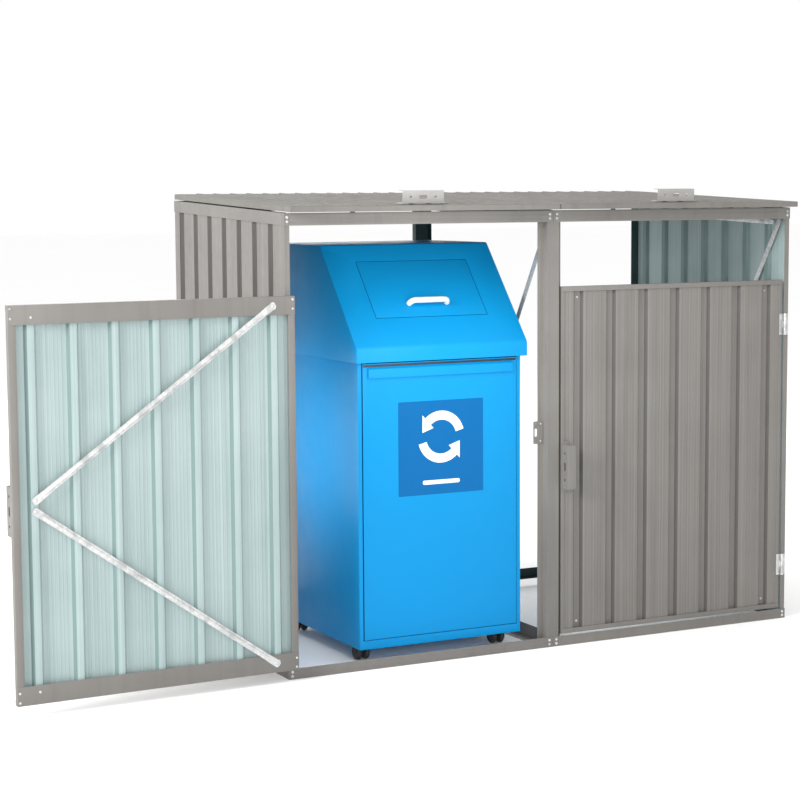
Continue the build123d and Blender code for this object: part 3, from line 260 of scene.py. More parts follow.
# ================================================================ materials
class Surface:
    """A material with a Principled shader, and short ways to add its nodes."""

    def __init__(self, name, roughness, metallic=0.0, specular=0.5):
        self.material = bpy.data.materials.new(name)
        self.material.use_nodes = True
        self.tree = self.material.node_tree
        self.shader = self.tree.nodes["Principled BSDF"]
        self.shader.inputs["Roughness"].default_value = roughness
        self.shader.inputs["Metallic"].default_value = metallic
        self.shader.inputs["Specular IOR Level"].default_value = specular
        self.place = self.node("ShaderNodeTexCoord").outputs["Object"]

    def node(self, kind, **settings):
        made = self.tree.nodes.new(kind)
        for key, value in settings.items():
            setattr(made, key, value)
        return made

    def link(self, source, target):
        self.tree.links.new(source, target)

    def stretched(self, scale):
        """Object coordinates, scaled differently along each axis."""
        mapping = self.node("ShaderNodeMapping")
        mapping.inputs["Scale"].default_value = scale
        self.link(self.place, mapping.inputs["Vector"])
        return mapping.outputs["Vector"]

    def noise(self, scale, detail=3.0, stretch=None):
        noise = self.node("ShaderNodeTexNoise")
        noise.inputs["Scale"].default_value = scale
        noise.inputs["Detail"].default_value = detail
        vector = self.stretched(stretch) if stretch else self.place
        self.link(vector, noise.inputs["Vector"])
        return noise.outputs["Fac"]

    def cells(self, scale):
        """A random value in each cell of a crystal pattern."""
        cells = self.node("ShaderNodeTexVoronoi")
        cells.inputs["Scale"].default_value = scale
        self.link(self.place, cells.inputs["Vector"])
        return cells.outputs["Color"]

    def ramp(self, value, low, high, out_low=0.0, out_high=1.0):
        """Map a value's range onto another, without going past its ends."""
        ramp = self.node("ShaderNodeMapRange")
        ends = {"From Min": low, "From Max": high, "To Min": out_low, "To Max": out_high}
        for socket, number in ends.items():
            ramp.inputs[socket].default_value = number
        self.link(value, ramp.inputs["Value"])
        return ramp.outputs["Result"]

    def multiply(self, first, second):
        product = self.node("ShaderNodeMath", operation="MULTIPLY")
        self.link(first, product.inputs[0])
        self.link(second, product.inputs[1])
        return product.outputs["Value"]

    def blend(self, first, second, amount):
        """Mix two colours; each is a colour or another node's output."""
        mix = self.node("ShaderNodeMix", data_type="RGBA")
        for socket, value in ((mix.inputs["A"], first), (mix.inputs["B"], second)):
            if isinstance(value, tuple):
                socket.default_value = (*value, 1.0)
            else:
                self.link(value, socket)
        self.link(amount, mix.inputs["Factor"])
        return mix.outputs["Result"]

    def height(self):
        """Height above the ground, in metres."""
        parts = self.node("ShaderNodeSeparateXYZ")
        self.link(self.place, parts.inputs["Vector"])
        return parts.outputs["Z"]

    def attribute(self, name):
        return self.node("ShaderNodeAttribute", attribute_name=name).outputs["Fac"]

    def edge(self, radius):
        """How close a point is to a convex or concave edge, from the turn of a rounded normal."""
        rounded = self.node("ShaderNodeBevel", samples=4)
        rounded.inputs["Radius"].default_value = radius
        flat = self.node("ShaderNodeNewGeometry")
        dot = self.node("ShaderNodeVectorMath", operation="DOT_PRODUCT")
        self.link(rounded.outputs["Normal"], dot.inputs[0])
        self.link(flat.outputs["Normal"], dot.inputs[1])
        return self.ramp(dot.outputs["Value"], 1.0, 0.80)

    def colour(self, value):
        self.link(value, self.shader.inputs["Base Color"])

    def roughness(self, value):
        self.link(value, self.shader.inputs["Roughness"])

    def bump(self, value, strength, distance):
        bump = self.node("ShaderNodeBump")
        bump.inputs["Strength"].default_value = strength
        bump.inputs["Distance"].default_value = distance
        self.link(value, bump.inputs["Height"])
        self.link(bump.outputs["Normal"], self.shader.inputs["Normal"])


def painted(name, base, grime, foot_darkening, shade=None, roughness=0.48, specular=0.35):
    """Enamel on sheet steel: clouds, streaks, darker towards the bottom and worn edges, in linear colours.

    With a shade colour, the paint also has fine upright pale and dark lines, painted highlights and shade for
    the pressed stripes, and painted shade where "groove" is high.
    """
    paint = Surface(name, roughness=roughness, specular=specular)
    pale = tuple(min(1.0, 1.35 * channel + 0.02) for channel in base)
    cloud = paint.ramp(paint.noise(5.0), 0.35, 0.70, 0.0, 0.20)
    streak = paint.ramp(paint.noise(3.0, 4.0, (14.0, 14.0, 0.6)), 0.50, 0.80, 0.0, 0.24)
    foot = paint.ramp(paint.height(), 0.75, 0.0, 0.0, foot_darkening)
    dust_and_painted_light = paint.blend(base, grime, cloud)
    dust_and_painted_light = paint.blend(dust_and_painted_light, grime, streak)
    dust_and_painted_light = paint.blend(dust_and_painted_light, grime, foot)
    if shade:
        # Painted highlights: fine pale upright lines, standing in for light on the pressed stripes.
        fine = paint.ramp(paint.noise(1.0, 2.0, (260.0, 260.0, 0.02)), 0.54, 0.66, 0.0, 0.26)
        dust_and_painted_light = paint.blend(dust_and_painted_light, pale, fine)
        # Painted shade: fine dark upright lines.
        fine_shade_lines = paint.ramp(paint.noise(1.0, 1.0, (170.0, 170.0, 0.02)), 0.56, 0.70, 0.0, 0.12)
        dust_and_painted_light = paint.blend(dust_and_painted_light, shade, fine_shade_lines)
        # Painted shade on one slope of each groove, where the "groove" attribute is high.
        dust_and_painted_light = paint.blend(dust_and_painted_light, shade, paint.ramp(paint.attribute("groove"), 0.0, 1.0))
    worn = paint.multiply(paint.edge(0.0012), paint.ramp(paint.noise(70.0), 0.42, 0.62, 0.0, 0.55))
    paint.colour(paint.blend(dust_and_painted_light, pale, worn))
    paint.roughness(paint.ramp(paint.noise(24.0), 0.3, 0.7, roughness - 0.08, roughness + 0.10))
    paint.bump(paint.noise(420.0, 2.0), 0.10, 0.0004)
    return paint.material


def galvanised(name):
    """Hot-dip zinc: crystal spangle with dull patches."""
    zinc = Surface(name, roughness=0.38, metallic=0.45)
    crystal = zinc.cells(150.0)
    tone = zinc.ramp(crystal, 0.0, 1.0, 0.0, 0.55)
    patch = zinc.ramp(zinc.noise(28.0), 0.48, 0.66, 0.0, 0.75)
    zinc.colour(zinc.blend(zinc.blend(ZINC, ZINC_DARK, tone), ZINC_DARK, patch))
    zinc.roughness(zinc.ramp(crystal, 0.0, 1.0, 0.26, 0.50))
    zinc.bump(zinc.noise(260.0, 3.0), 0.15, 0.0005)
    return zinc.material


def powder_coated(name, base, deep):
    """Smooth powder coat with a fine orange peel, darker towards the ground as painted shade of light from
    above.
    """
    coat = Surface(name, roughness=0.42, specular=0.16)
    # Painted shade: darker towards the ground, as under light from above.
    foot = coat.ramp(coat.height(), 1.15, 0.05, 0.0, 1.0)
    cloud = coat.ramp(coat.noise(4.0), 0.35, 0.70, 0.0, 0.35)
    coat.colour(coat.blend(coat.blend(base, deep, foot), deep, cloud))
    coat.roughness(coat.ramp(coat.noise(18.0), 0.3, 0.7, 0.32, 0.44))
    coat.bump(coat.noise(520.0, 2.0), 0.12, 0.0003)
    return coat.material


def moulded(name, base, roughness, grain):
    """Moulded plastic or rubber with a fine grain and faint pale patches."""
    plastic = Surface(name, roughness=roughness)
    pale = tuple(min(1.0, 1.25 * channel + 0.01) for channel in base)
    plastic.colour(plastic.blend(base, pale, plastic.ramp(plastic.noise(30.0), 0.4, 0.7)))
    uneven = plastic.ramp(plastic.noise(60.0), 0.3, 0.7, roughness - 0.08, roughness + 0.08)
    plastic.roughness(uneven)
    plastic.bump(plastic.noise(grain, 2.0), 0.15, 0.0003)
    return plastic.material


def floor_paint():
    """Matt white studio floor."""
    floor = Surface("studio_floor", roughness=0.85, specular=0.2)
    pale = tuple(channel * 1.02 for channel in FLOOR)
    floor.colour(floor.blend(FLOOR, pale, floor.noise(0.8)))
    return floor.material


SURFACES = {
    "taupe_steel": painted("taupe_paint", TAUPE, TAUPE_GRIME, 0.30),
    # Teal coat darkened with painted shade.
    "inner_green": painted("shaded_teal_paint", SHADED_TEAL, TEAL_GRIME, 0.30),
    "handle_grey": painted("handle_paint", HANDLE_GREY, TAUPE, 0.0),
    "zinc_steel": galvanised("galvanised_steel"),
    "bin_blue": powder_coated("blue_powder_coat", BLUE, BLUE_DEEP),
    "white_plastic": moulded("white_plastic", WHITE, 0.30, 300.0),
    "liner_plastic": moulded("liner_plastic", LINER_GREY, 0.55, 380.0),
    "wheel_rubber": moulded("wheel_rubber", BLACK, 0.62, 500.0),
    "caster_black": moulded("caster_plastic", BLACK, 0.45, 400.0),
}
SHEET_OUTSIDE = painted("sheet_taupe", TAUPE, TAUPE_GRIME, 0.30, TAUPE_SHADE)
SHEET_INSIDE = painted("sheet_mint", MINT, MINT_SHADE, 0.10, MINT_SHADE)
LID_PAINT = painted("lid_paint", TAUPE, TAUPE_GRIME, 0.0, roughness=0.72, specular=0.12)
# Painted shadow of the gaps at the rims of the flap, its opening and the bin's door.
SHADOW_GAP_SURFACE = powder_coated("blue_shadow_gap", SHADOW_GAP_BLUE, SHADOW_GAP_BLUE)
LABEL_SURFACE = powder_coated("label_vinyl", LABEL_BLUE, LABEL_BLUE)
MARK_SURFACE = moulded("label_print", WHITE, 0.40, 200.0)


# ================================================================ mesh helpers
def clamped(share):
    """A share held between 0 and 1."""
    return min(max(share, 0.0), 1.0)


def eased(share):
    """A share from 0 to 1 with its rate of change smoothed at both ends."""
    return share * share * (3 - 2 * share)


def make_object(name, vertices, faces, materials, material_of=None):
    """An object from plain lists, smooth apart from its real edges."""
    mesh = bpy.data.meshes.new(name)
    mesh.from_pydata([tuple(v) for v in vertices], [], faces)
    for material in materials:
        mesh.materials.append(material)
    if material_of:
        for polygon, index in zip(mesh.polygons, material_of):
            polygon.material_index = index
    smooth(mesh)
    made = bpy.data.objects.new(name, mesh)
    bpy.context.scene.collection.objects.link(made)
    return made


def smooth(mesh):
    """Shade a mesh smooth, with its real edges kept sharp."""
    mesh.polygons.foreach_set("use_smooth", [True] * len(mesh.polygons))
    mesh.set_sharp_from_angle(angle=SMOOTH_ANGLE)


def baked(made):
    """Replace an object's mesh with its modified mesh and take the modifiers off."""
    graph = bpy.context.evaluated_depsgraph_get()
    mesh = bpy.data.meshes.new_from_object(made.evaluated_get(graph))
    made.modifiers.clear()
    made.data = mesh
    smooth(mesh)
    return made


def thickened(made, thickness):
    """Give a surface its sheet thickness, on the side away from its normals."""
    solid = made.modifiers.new("thickness", "SOLIDIFY")
    solid.thickness = thickness
    solid.offset = -1.0
    solid.use_even_offset = True
    return baked(made)


def belongs(made, body, slot, *nodes):
    """Put a finished piece on its body in place of CAD nodes; slot is not used."""
    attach(made, body)
    if nodes:
        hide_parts(*nodes)
    return made


def body_of(node):
    """The body that a CAD piece belongs to."""
    return NODES[node]["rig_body"]


def rounded_copy(node, width, segments=2, soft=None, soft_width=0.0, accent=None, accent_surface=None):
    """A copy of a CAD piece with every real edge rounded; it replaces the plain piece.

    Edges for which soft is true get a wider rounding first, and faces for which accent is true get
    their own surface.
    """
    mesh = bmesh.new()
    mesh.from_mesh(NODES[node].data)
    bmesh.ops.remove_doubles(mesh, verts=mesh.verts, dist=1e-6)
    bmesh.ops.dissolve_limit(mesh, angle_limit=math.radians(0.6), verts=mesh.verts, edges=mesh.edges)
    if soft:
        creases = [edge for edge in mesh.edges if soft(edge)]
        bmesh.ops.bevel(mesh, geom=creases, offset=soft_width, segments=6, profile=0.5, affect="EDGES")
    edges = [
        edge for edge in mesh.edges
        if len(edge.link_faces) == 2 and edge.calc_face_angle(0.0) > SMOOTH_ANGLE
    ]
    bmesh.ops.bevel(
        mesh, geom=edges, offset=width, segments=segments, profile=0.6, affect="EDGES", clamp_overlap=True
    )
    mesh.verts.index_update()
    vertices = [vertex.co.copy() for vertex in mesh.verts]
    faces = [[vertex.index for vertex in face.verts] for face in mesh.faces]
    materials = [SURFACES[SLOT_OF[node]]]
    material_of = None
    if accent:
        materials.append(accent_surface)
        material_of = [1 if accent(face) else 0 for face in mesh.faces]
    mesh.free()
    made = make_object(f"{node}_formed", vertices, faces, materials, material_of)
    return belongs(made, body_of(node), SLOT_OF[node], node)


def turned(profile, at, axis, steps=24):
    """Vertices and faces of a turned piece: profile is (radius, height) pairs along an axis."""
    turn = Vector(axis).to_track_quat("Z", "Y").to_matrix()
    vertices = []
    for radius, height in profile:
        for step in range(steps):
            angle = 2 * math.pi * step / steps
            local = Vector((radius * math.cos(angle), radius * math.sin(angle), height))
            vertices.append(Vector(at) + turn @ local)
    faces = []
    for ring in range(len(profile) - 1):
        for step in range(steps):
            after = (step + 1) % steps
            faces.append((
                ring * steps + step, ring * steps + after,
                (ring + 1) * steps + after, (ring + 1) * steps + step,
            ))
    faces.append(tuple(reversed(range(steps))))
    faces.append(tuple((len(profile) - 1) * steps + step for step in range(steps)))
    return vertices, faces


def gathered(shapes):
    """Several (vertices, faces) shapes as one."""
    vertices, faces = [], []
    for more_vertices, more_faces in shapes:
        base = len(vertices)
        vertices += more_vertices
        faces += [tuple(index + base for index in face) for face in more_faces]
    return vertices, faces


def tube(path, radius, sides=16):
    """A round bar along a path of points, closed at both ends with small domes."""
    points = [Vector(p) for p in path]
    rings = [(points[0], 0.55 * radius)] + [(p, radius) for p in points[1:-1]] + [(points[-1], 0.55 * radius)]
    side = None
    vertices, faces = [], []
    for index, (point, size) in enumerate(rings):
        before = points[max(index - 1, 0)]
        after = points[min(index + 1, len(points) - 1)]
        along = (after - before).normalized()
        if side is None:
            side = along.orthogonal().normalized()
        side = (side - along * side.dot(along)).normalized()
        up = along.cross(side)
        for step in range(sides):
            angle = 2 * math.pi * step / sides
            vertices.append(point + size * (math.cos(angle) * side + math.sin(angle) * up))
    for ring in range(len(rings) - 1):
        for step in range(sides):
            after = (step + 1) % sides
            faces.append((ring * sides + step, ring * sides + after,
                          (ring + 1) * sides + after, (ring + 1) * sides + step))
    faces.append(tuple(reversed(range(sides))))
    faces.append(tuple((len(rings) - 1) * sides + step for step in range(sides)))
    return vertices, faces


def swing_open(point):
    """Where a point of the closed left door is when the door stands at rest."""
    joint = JOINTS["left_door_hinge"]
    pivot = Vector(joint["pos_m"])
    turn = Matrix.Rotation(-abs(math.radians(joint["range_deg"][0])), 3, "Z")
    return pivot + turn @ (Vector(point) - pivot)


def stay(point):
    """Where a point of the closed right door is: it stands closed at rest."""
    return Vector(point)


# ================================================================ corrugated sheets
def groove_depth_at(offset):
    """Depth of a groove at a distance from its middle, with rounded bends."""
    run = (GROOVE_MOUTH - GROOVE_FLOOR) / 2
    share = clamped((GROOVE_MOUTH / 2 - abs(offset)) / run)
    return GROOVE_DEPTH * (0.45 * share + 0.55 * eased(share))


def stripe_depth_at(offset):
    """Depth of a fine pressed stripe at a distance from its middle."""
    share = min(abs(offset) / (PIN_STRIPE_WIDTH / 2), 1.0)
    return PIN_STRIPE_DEPTH * (0.5 + 0.5 * math.cos(math.pi * share))


def sheet_line(start, end, first, shaded_from, groove_shade_strength):
    """Points across a corrugated sheet as (distance along it, depth, strength of its painted shade)."""
    line = [(start, 0.0, 0.0)]
    flat_from = start
    middle = first
    while middle + GROOVE_MOUTH / 2 < end:
        line += striped_flat(flat_from, middle - GROOVE_MOUTH / 2)
        line += groove_points(middle, shaded_from, groove_shade_strength)
        flat_from = middle + GROOVE_MOUTH / 2
        middle += GROOVE_PITCH
    line += striped_flat(flat_from, end)
    line.append((end, 0.0, 0.0))
    return line


def groove_points(middle, shaded_from, groove_shade_strength):
    """Points over one groove; it has painted shade from an offset up to the far edge of its mouth."""
    run = (GROOVE_MOUTH - GROOVE_FLOOR) / 2
    shaded_to = GROOVE_MOUTH / 2 - SHADE_EDGE
    offsets = {shaded_from, shaded_from + SHADE_EDGE, shaded_to}
    for step in range(GROOVE_STEPS + 1):
        offsets.add(-GROOVE_MOUTH / 2 + run * step / GROOVE_STEPS)
        offsets.add(GROOVE_FLOOR / 2 + run * step / GROOVE_STEPS)
    points = []
    for offset in sorted(offsets):
        dark = shaded_from + SHADE_EDGE / 2 < offset < shaded_to + SHADE_EDGE / 2
        points.append((middle + offset, groove_depth_at(offset), groove_shade_strength if dark else 0.0))
    return points


def striped_flat(start, end):
    """Points over a flat between grooves, with its fine stripes."""
    room = end - start - 2 * PIN_STRIPE_MARGIN
    count = int(room // PIN_STRIPE_PITCH)
    points = []
    for index in range(count):
        middle = (start + end) / 2 + (index - (count - 1) / 2) * PIN_STRIPE_PITCH
        for step in range(-PIN_STRIPE_STEPS, PIN_STRIPE_STEPS + 1):
            offset = step * PIN_STRIPE_WIDTH / (2 * PIN_STRIPE_STEPS)
            points.append((middle + offset, stripe_depth_at(offset), 0.0))
    return points


def corrugated(name, line, to_point, low, high_at, node):
    """A pressed sheet with paint outside and a mint coat inside, as a closed solid."""
    count = len(line)
    vertices, shade = [], []
    for along, depth, groove in line:
        for behind in (0.0, SHEET):
            for top in (low, high_at(along)):
                vertices.append(to_point(along, depth + behind, top))
                shade.append(groove)
    faces, material_of = [], []
    for index in range(count - 1):
        here, there = 4 * index, 4 * (index + 1)
        faces += [
            (here, there, there + 1, here + 1),
            (here + 2, here + 3, there + 3, there + 2),
            (here, here + 2, there + 2, there),
            (here + 1, there + 1, there + 3, here + 3),
        ]
        material_of += [0, 1, 0, 0]
    last = 4 * (count - 1)
    faces += [(0, 1, 3, 2), (last, last + 2, last + 3, last + 1)]
    material_of += [0, 0]
    made = make_object(name, vertices, faces, [SHEET_OUTSIDE, SHEET_INSIDE], material_of)
    facing_out(made)
    # Strength of the grooves' painted shade at each point, read by the sheet paint.
    groove = made.data.attributes.new("groove", "FLOAT", "POINT")
    groove.data.foreach_set("value", shade)
    return belongs(made, body_of(node), SLOT_OF[node], node)


def facing_out(made):
    """Turn every face of a closed solid outwards."""
    mesh = bmesh.new()
    mesh.from_mesh(made.data)
    bmesh.ops.recalc_face_normals(mesh, faces=mesh.faces)
    mesh.to_mesh(made.data)
    mesh.free()


def walls():
    """The two side walls, whose top edges follow the roof's slope."""
    for side, node in ((1, "left_wall"), (-1, "right_wall")):
        low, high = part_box(node)
        face = low.x if side > 0 else high.x
        slope = (high.z - front_top(node)) / (high.y - low.y)
        line = sheet_line(low.y, high.y, low.y + WALL_FIRST_GROOVE, -GROOVE_MOUTH / 2, WALL_GROOVE_SHADE)
        corrugated(
            f"{node}_sheet", line,
            lambda along, depth, z: Vector((face + side * depth, along, z)),
            low.z, lambda along: high.z - slope * (high.y - along), node,
        )


def front_top(node):
    """Height of a wall's top edge at its front."""
    low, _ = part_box(node)
    return max(vertex.co.z for vertex in NODES[node].data.vertices if vertex.co.y < low.y + SHEET)


def closed_door_edges(side):
    """Left and right edge of a door's sheet when closed; the left door mirrors the right one."""
    low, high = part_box("right_door_sheet")
    return (low.x, high.x) if side == "right" else (-high.x, -low.x)


def door_sheets():
    """The two doors' sheets, made closed and then put where their doors stand at rest."""
    low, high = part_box("right_door_sheet")
    for side, move in (("right", stay), ("left", swing_open)):
        start, end = closed_door_edges(side)
        node = f"{side}_door_sheet"
        line = sheet_line(start, end, start + DOOR_FIRST_GROOVE, GROOVE_FLOOR / 2, DOOR_GROOVE_SHADE)
        corrugated(
            f"{node}_pressed", line,
            lambda along, depth, z: move((along, low.y + depth, z)),
            low.z, lambda along: high.z, node,
        )


# ================================================================ door braces
def brace_shape(start, end, back, move):
    """A strip from start to end as (x, z) on the door's back: flat drilled tabs and a ridged middle."""
    first, last = Vector((start[0], back, start[1])), Vector((end[0], back, end[1]))
    along = (last - first).normalized()
    across = along.cross(Vector((0, 1, 0))).normalized()
    length = (last - first).length + BRACE_TAB
    origin = first - along * BRACE_TAB / 2
    cuts = [share * BRACE_FLAT for share in (0.0, 0.1, 0.3, 0.6, 1.0)]
    cuts += [BRACE_FLAT + BRACE_RAMP * share for share in (0.25, 0.5, 0.75, 1.0)]
    cuts += [length - cut for cut in reversed(cuts)]
    vertices = []
    for cut in cuts:
        near = min(cut, length - cut)
        form = eased(clamped((near - BRACE_FLAT) / BRACE_RAMP))
        round_end = math.sqrt(max(0.0, 1 - max(0.0, 1 - near / (BRACE_WIDTH / 3)) ** 2))
        width = BRACE_WIDTH / 2 * (1 - 0.12 * form) * (0.45 + 0.55 * round_end)
        for behind in (0.0, STEEL):
            for share, lift in BRACE_SECTION:
                depth = behind + lift * form * BRACE_RISE
                point = origin + along * cut + across * share * width
                vertices.append(move(point + Vector((0, depth, 0))))
    count = len(BRACE_SECTION)
    row = 2 * count
    faces = []
    for index in range(len(cuts) - 1):
        here, there = index * row, (index + 1) * row
        for step in range(count - 1):
            faces.append((here + step, here + step + 1, there + step + 1, there + step))
            faces.append((here + count + step, there + count + step,
                          there + count + step + 1, here + count + step + 1))
        faces.append((here, there, there + count, here + count))
        faces.append((here + count - 1, here + 2 * count - 1, there + 2 * count - 1, there + count - 1))
    for here in (0, (len(cuts) - 1) * row):
        for step in range(count - 1):
            faces.append((here + step, here + count + step, here + count + step + 1, here + step + 1))
    return vertices, faces


def door_braces_and_screws():
    """The K of two strips on each door's back, its screws and the spacers at its apex."""
    low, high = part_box("right_door_frame")
    middle = (low.z + high.z) / 2
    back = high.y
    for side, move in (("right", stay), ("left", swing_open)):
        inward = 1 if side == "right" else -1
        free = low.x if side == "right" else -low.x
        hinge = high.x if side == "right" else -high.x
        hinge_x = hinge - inward * BRACE_CORNER_INSET
        apex_x = free + inward * DOOR_SCREW_INSET
        pairs = [
            ((hinge_x, high.z - BRACE_CORNER_RISE), (apex_x, middle + BRACE_APEX_SPREAD / 2)),
            ((hinge_x, low.z + BRACE_CORNER_RISE), (apex_x, middle - BRACE_APEX_SPREAD / 2)),
        ]
        node = f"{side}_door_braces"
        vertices, faces = gathered([brace_shape(start, end, back, move) for start, end in pairs])
        made = make_object(f"{side}_door_brace_strips", vertices, faces, [SURFACES["zinc_steel"]])
        facing_out(made)
        belongs(made, body_of(node), SLOT_OF[node], node)
        heads = []
        inside = (move((0, 1, 0)) - move((0, 0, 0))).normalized()
        groove_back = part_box("right_door_sheet")[1].y
        spacer = [(BRACE_SPACER_RADIUS, 0.0), (BRACE_SPACER_RADIUS, back - groove_back)]
        for corner, apex in pairs:
            for x, z in (corner, apex):
                heads.append(turned(screw_profile(*BOLT_HEAD), move((x, back + STEEL, z)), inside))
            heads.append(turned(spacer, move((apex[0], groove_back, apex[1])), inside))
        node = f"{side}_door_screws"
        screws = make_object(f"{side}_door_screw_heads", *gathered(heads), [SURFACES["zinc_steel"]])
        belongs(screws, body_of(node), SLOT_OF[node], node)


def screw_profile(radius, height):
    """A domed head with a round driving recess, as (radius, height) from its seat to its middle."""
    shares = (
        (1.0, 0.0), (1.0, 0.25), (0.93, 0.55), (0.75, 0.85),
        (0.52, 1.0), (0.42, 0.98), (0.38, 0.45), (0.0, 0.40),
    )
    return [(radius * across, height * up) for across, up in shares]


# ================================================================ lids
def lids():
    """The two roof trays: a ribbed sheet with folded lips round it."""
    for side in ("left", "right"):
        node = f"{side}_lid_skin"
        low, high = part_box(node)
        origin, up_slope, out = lid_axes(node)
        length = (high.y - low.y) / up_slope.y
        columns = lid_columns(low.x, high.x)
        rows = lid_rows(length)
        vertices, faces = [], []
        for s, fold_s in rows:
            front_share = clamped((s - LID_OVERHANG) / LID_RIB_RAMP)
            rear_share = clamped((length - LID_REAR_MARGIN - s) / LID_RIB_RAMP)
            ramp = eased(front_share * rear_share)
            for x, rib, fold_x in columns:
                drop = max(fold_s, fold_x)
                place = origin + up_slope * s + out * (LID_LIP + rib * ramp * LID_RIB_HEIGHT - drop)
                vertices.append(Vector((x, place.y, place.z)))
        wide = len(columns)
        for row in range(len(rows) - 1):
            for column in range(wide - 1):
                corner = is_lip(rows, row) and is_lip(columns, column)
                if not corner:
                    here = row * wide + column
                    faces.append((here, here + 1, here + wide + 1, here + wide))
        made = thickened(make_object(f"{side}_lid_tray", vertices, faces, [LID_PAINT]), SHEET)
        belongs(made, body_of(node), SLOT_OF[node], node)


def is_lip(stations, index):
    """Whether the strip after a station is part of a folded lip."""
    return stations[index][-1] > 0.5 * FOLD_RADIUS or stations[index + 1][-1] > 0.5 * FOLD_RADIUS


def lid_axes(node):
    """Front lower corner of a lid's tray, its direction up the slope and its outward normal."""
    low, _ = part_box(node)
    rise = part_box("rear_top_rails")[1].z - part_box("front_top_rails")[1].z
    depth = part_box("rear_top_rails")[1].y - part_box("front_top_rails")[0].y
    angle = math.atan2(rise, depth)
    up_slope = Vector((0, math.cos(angle), math.sin(angle)))
    out = Vector((0, -math.sin(angle), math.cos(angle)))
    origin = Vector((0, low.y + LID_LIP * math.sin(angle), low.z))
    return origin, up_slope, out


def folded_edge(at, inward):
    """Stations round a folded edge, from the lip's foot to the flat: (position, drop)."""
    stations = [(at, LID_LIP)]
    for step in range(5):
        angle = math.pi / 2 * step / 4
        across = inward * FOLD_RADIUS * (1 - math.cos(angle))
        stations.append((at + across, FOLD_RADIUS * (1 - math.sin(angle))))
    return stations


def lid_columns(left, right):
    """Stations across a lid as (x, rib height share, drop)."""
    columns = [(x, 0.0, drop) for x, drop in folded_edge(left, 1)]
    count = int((right - left - 2 * LID_RIB_WIDTH) // LID_RIB_PITCH)
    first = (left + right) / 2 - (count - 1) * LID_RIB_PITCH / 2
    for index in range(count):
        for step in range(9):
            share = -1 + step / 4
            columns.append((
                first + index * LID_RIB_PITCH + share * LID_RIB_WIDTH / 2,
                0.5 + 0.5 * math.cos(math.pi * share), 0.0,
            ))
    columns += [(x, 0.0, drop) for x, drop in reversed(folded_edge(right, -1))]
    return columns


def lid_rows(length):
    """Stations up a lid's slope as (distance, drop)."""
    rows = folded_edge(0.0, 1)
    rows += [(LID_OVERHANG + LID_RIB_RAMP * share, 0.0) for share in (0.0, 0.25, 0.5, 0.75, 1.0)]
    rows += [(length * share, 0.0) for share in (0.25, 0.5, 0.75)]
    rows += [(length - LID_REAR_MARGIN - LID_RIB_RAMP * share, 0.0) for share in (1.0, 0.75, 0.5, 0.25, 0.0)]
    rows += reversed(folded_edge(length, -1))
    return rows


# ================================================================ fasteners
def front_bolts():
    """Domed bolts with hexagon nuts on the front rails, and the keeper plates' screws."""
    base_low, base_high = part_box("front_base_rails")
    top_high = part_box("front_top_rails")[1]
    columns = (base_low.x + BOLT_INSET, -SEAM_BOLT_OFFSET, SEAM_BOLT_OFFSET, base_high.x - BOLT_INSET)
    levels = (base_low.z + BASE_RAIL_HEIGHT / 2, top_high.z - TOP_RAIL_HEIGHT / 2)
    shapes = []
    for x in columns:
        for level in levels:
            for side in (-1, 1):
                z = level + side * BOLT_SPACING / 2
                shapes.append(turned(screw_profile(*BOLT_HEAD), (x, base_low.y, z), (0, -1, 0)))
                shapes.append(turned(NUT_PROFILE, (x, base_low.y + 2 * STEEL, z), (0, 1, 0), 6))
    keeper_low, keeper_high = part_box("keeper_plates")
    post_low, post_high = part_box("front_middle_post")
    for side in (-1, 1):
        across = side * (post_high.x - post_low.x) / 2 * KEEPER_SCREW_SHARE
        for z in (keeper_low.z + KEEPER_SCREW_INSET, keeper_high.z - KEEPER_SCREW_INSET):
            head = screw_profile(*KEEPER_SCREW_HEAD)
            shapes.append(turned(head, (across, keeper_low.y, z), (0, -1, 0)))
    made = make_object("frame_bolt_heads", *gathered(shapes), [SURFACES["zinc_steel"]])
    belongs(made, body_of("frame_bolts"), SLOT_OF["frame_bolts"], "frame_bolts")


def door_corners():
    """Columns and levels of the screws at the corners of the closed right door."""
    low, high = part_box("right_door_frame")
    columns = (low.x + DOOR_SCREW_INSET, high.x - DOOR_SCREW_INSET)
    return columns, (low.z + DOOR_SCREW_DROP, high.z - DOOR_SCREW_DROP)


def door_heads(side, move, head, facing, y, columns, levels):
    """Heads on a door at each column and level, facing the front (-1) or the rear (1)."""
    mirror = 1 if side == "right" else -1
    out = (move((0, facing, 0)) - move((0, 0, 0))).normalized()
    profile = screw_profile(*head)
    return [turned(profile, move((mirror * x, y, z)), out, 16) for x in columns for z in levels]


def door_rivets():
    """Pop rivets where a door's channels lap, and the ends of its corner screws, on its inside."""
    low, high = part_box("right_door_frame")
    columns = (low.x + RIVET_INSET, high.x - RIVET_INSET)
    levels = [low.z + level for level in RIVET_LEVELS] + [high.z - level for level in RIVET_LEVELS]
    for side, move in (("right", stay), ("left", swing_open)):
        shapes = door_heads(side, move, RIVET_HEAD, 1, high.y, columns, levels)
        shapes += door_heads(side, move, CORNER_SCREW_END, 1, high.y, *door_corners())
        made = make_object(f"{side}_door_rivets", *gathered(shapes), [SURFACES["zinc_steel"]])
        belongs(made, body_of(f"{side}_door_frame"), "zinc_steel")


def door_corner_screws():
    """Small domed screws through the floors of the grooves, on the outside of the doors."""
    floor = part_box("right_door_sheet")[0].y + GROOVE_DEPTH
    for side, move in (("right", stay), ("left", swing_open)):
        shapes = door_heads(side, move, CORNER_SCREW_HEAD, -1, floor, *door_corners())
        made = make_object(f"{side}_door_corner_screws", *gathered(shapes), [SURFACES["zinc_steel"]])
        belongs(made, body_of(f"{side}_door_frame"), "zinc_steel")


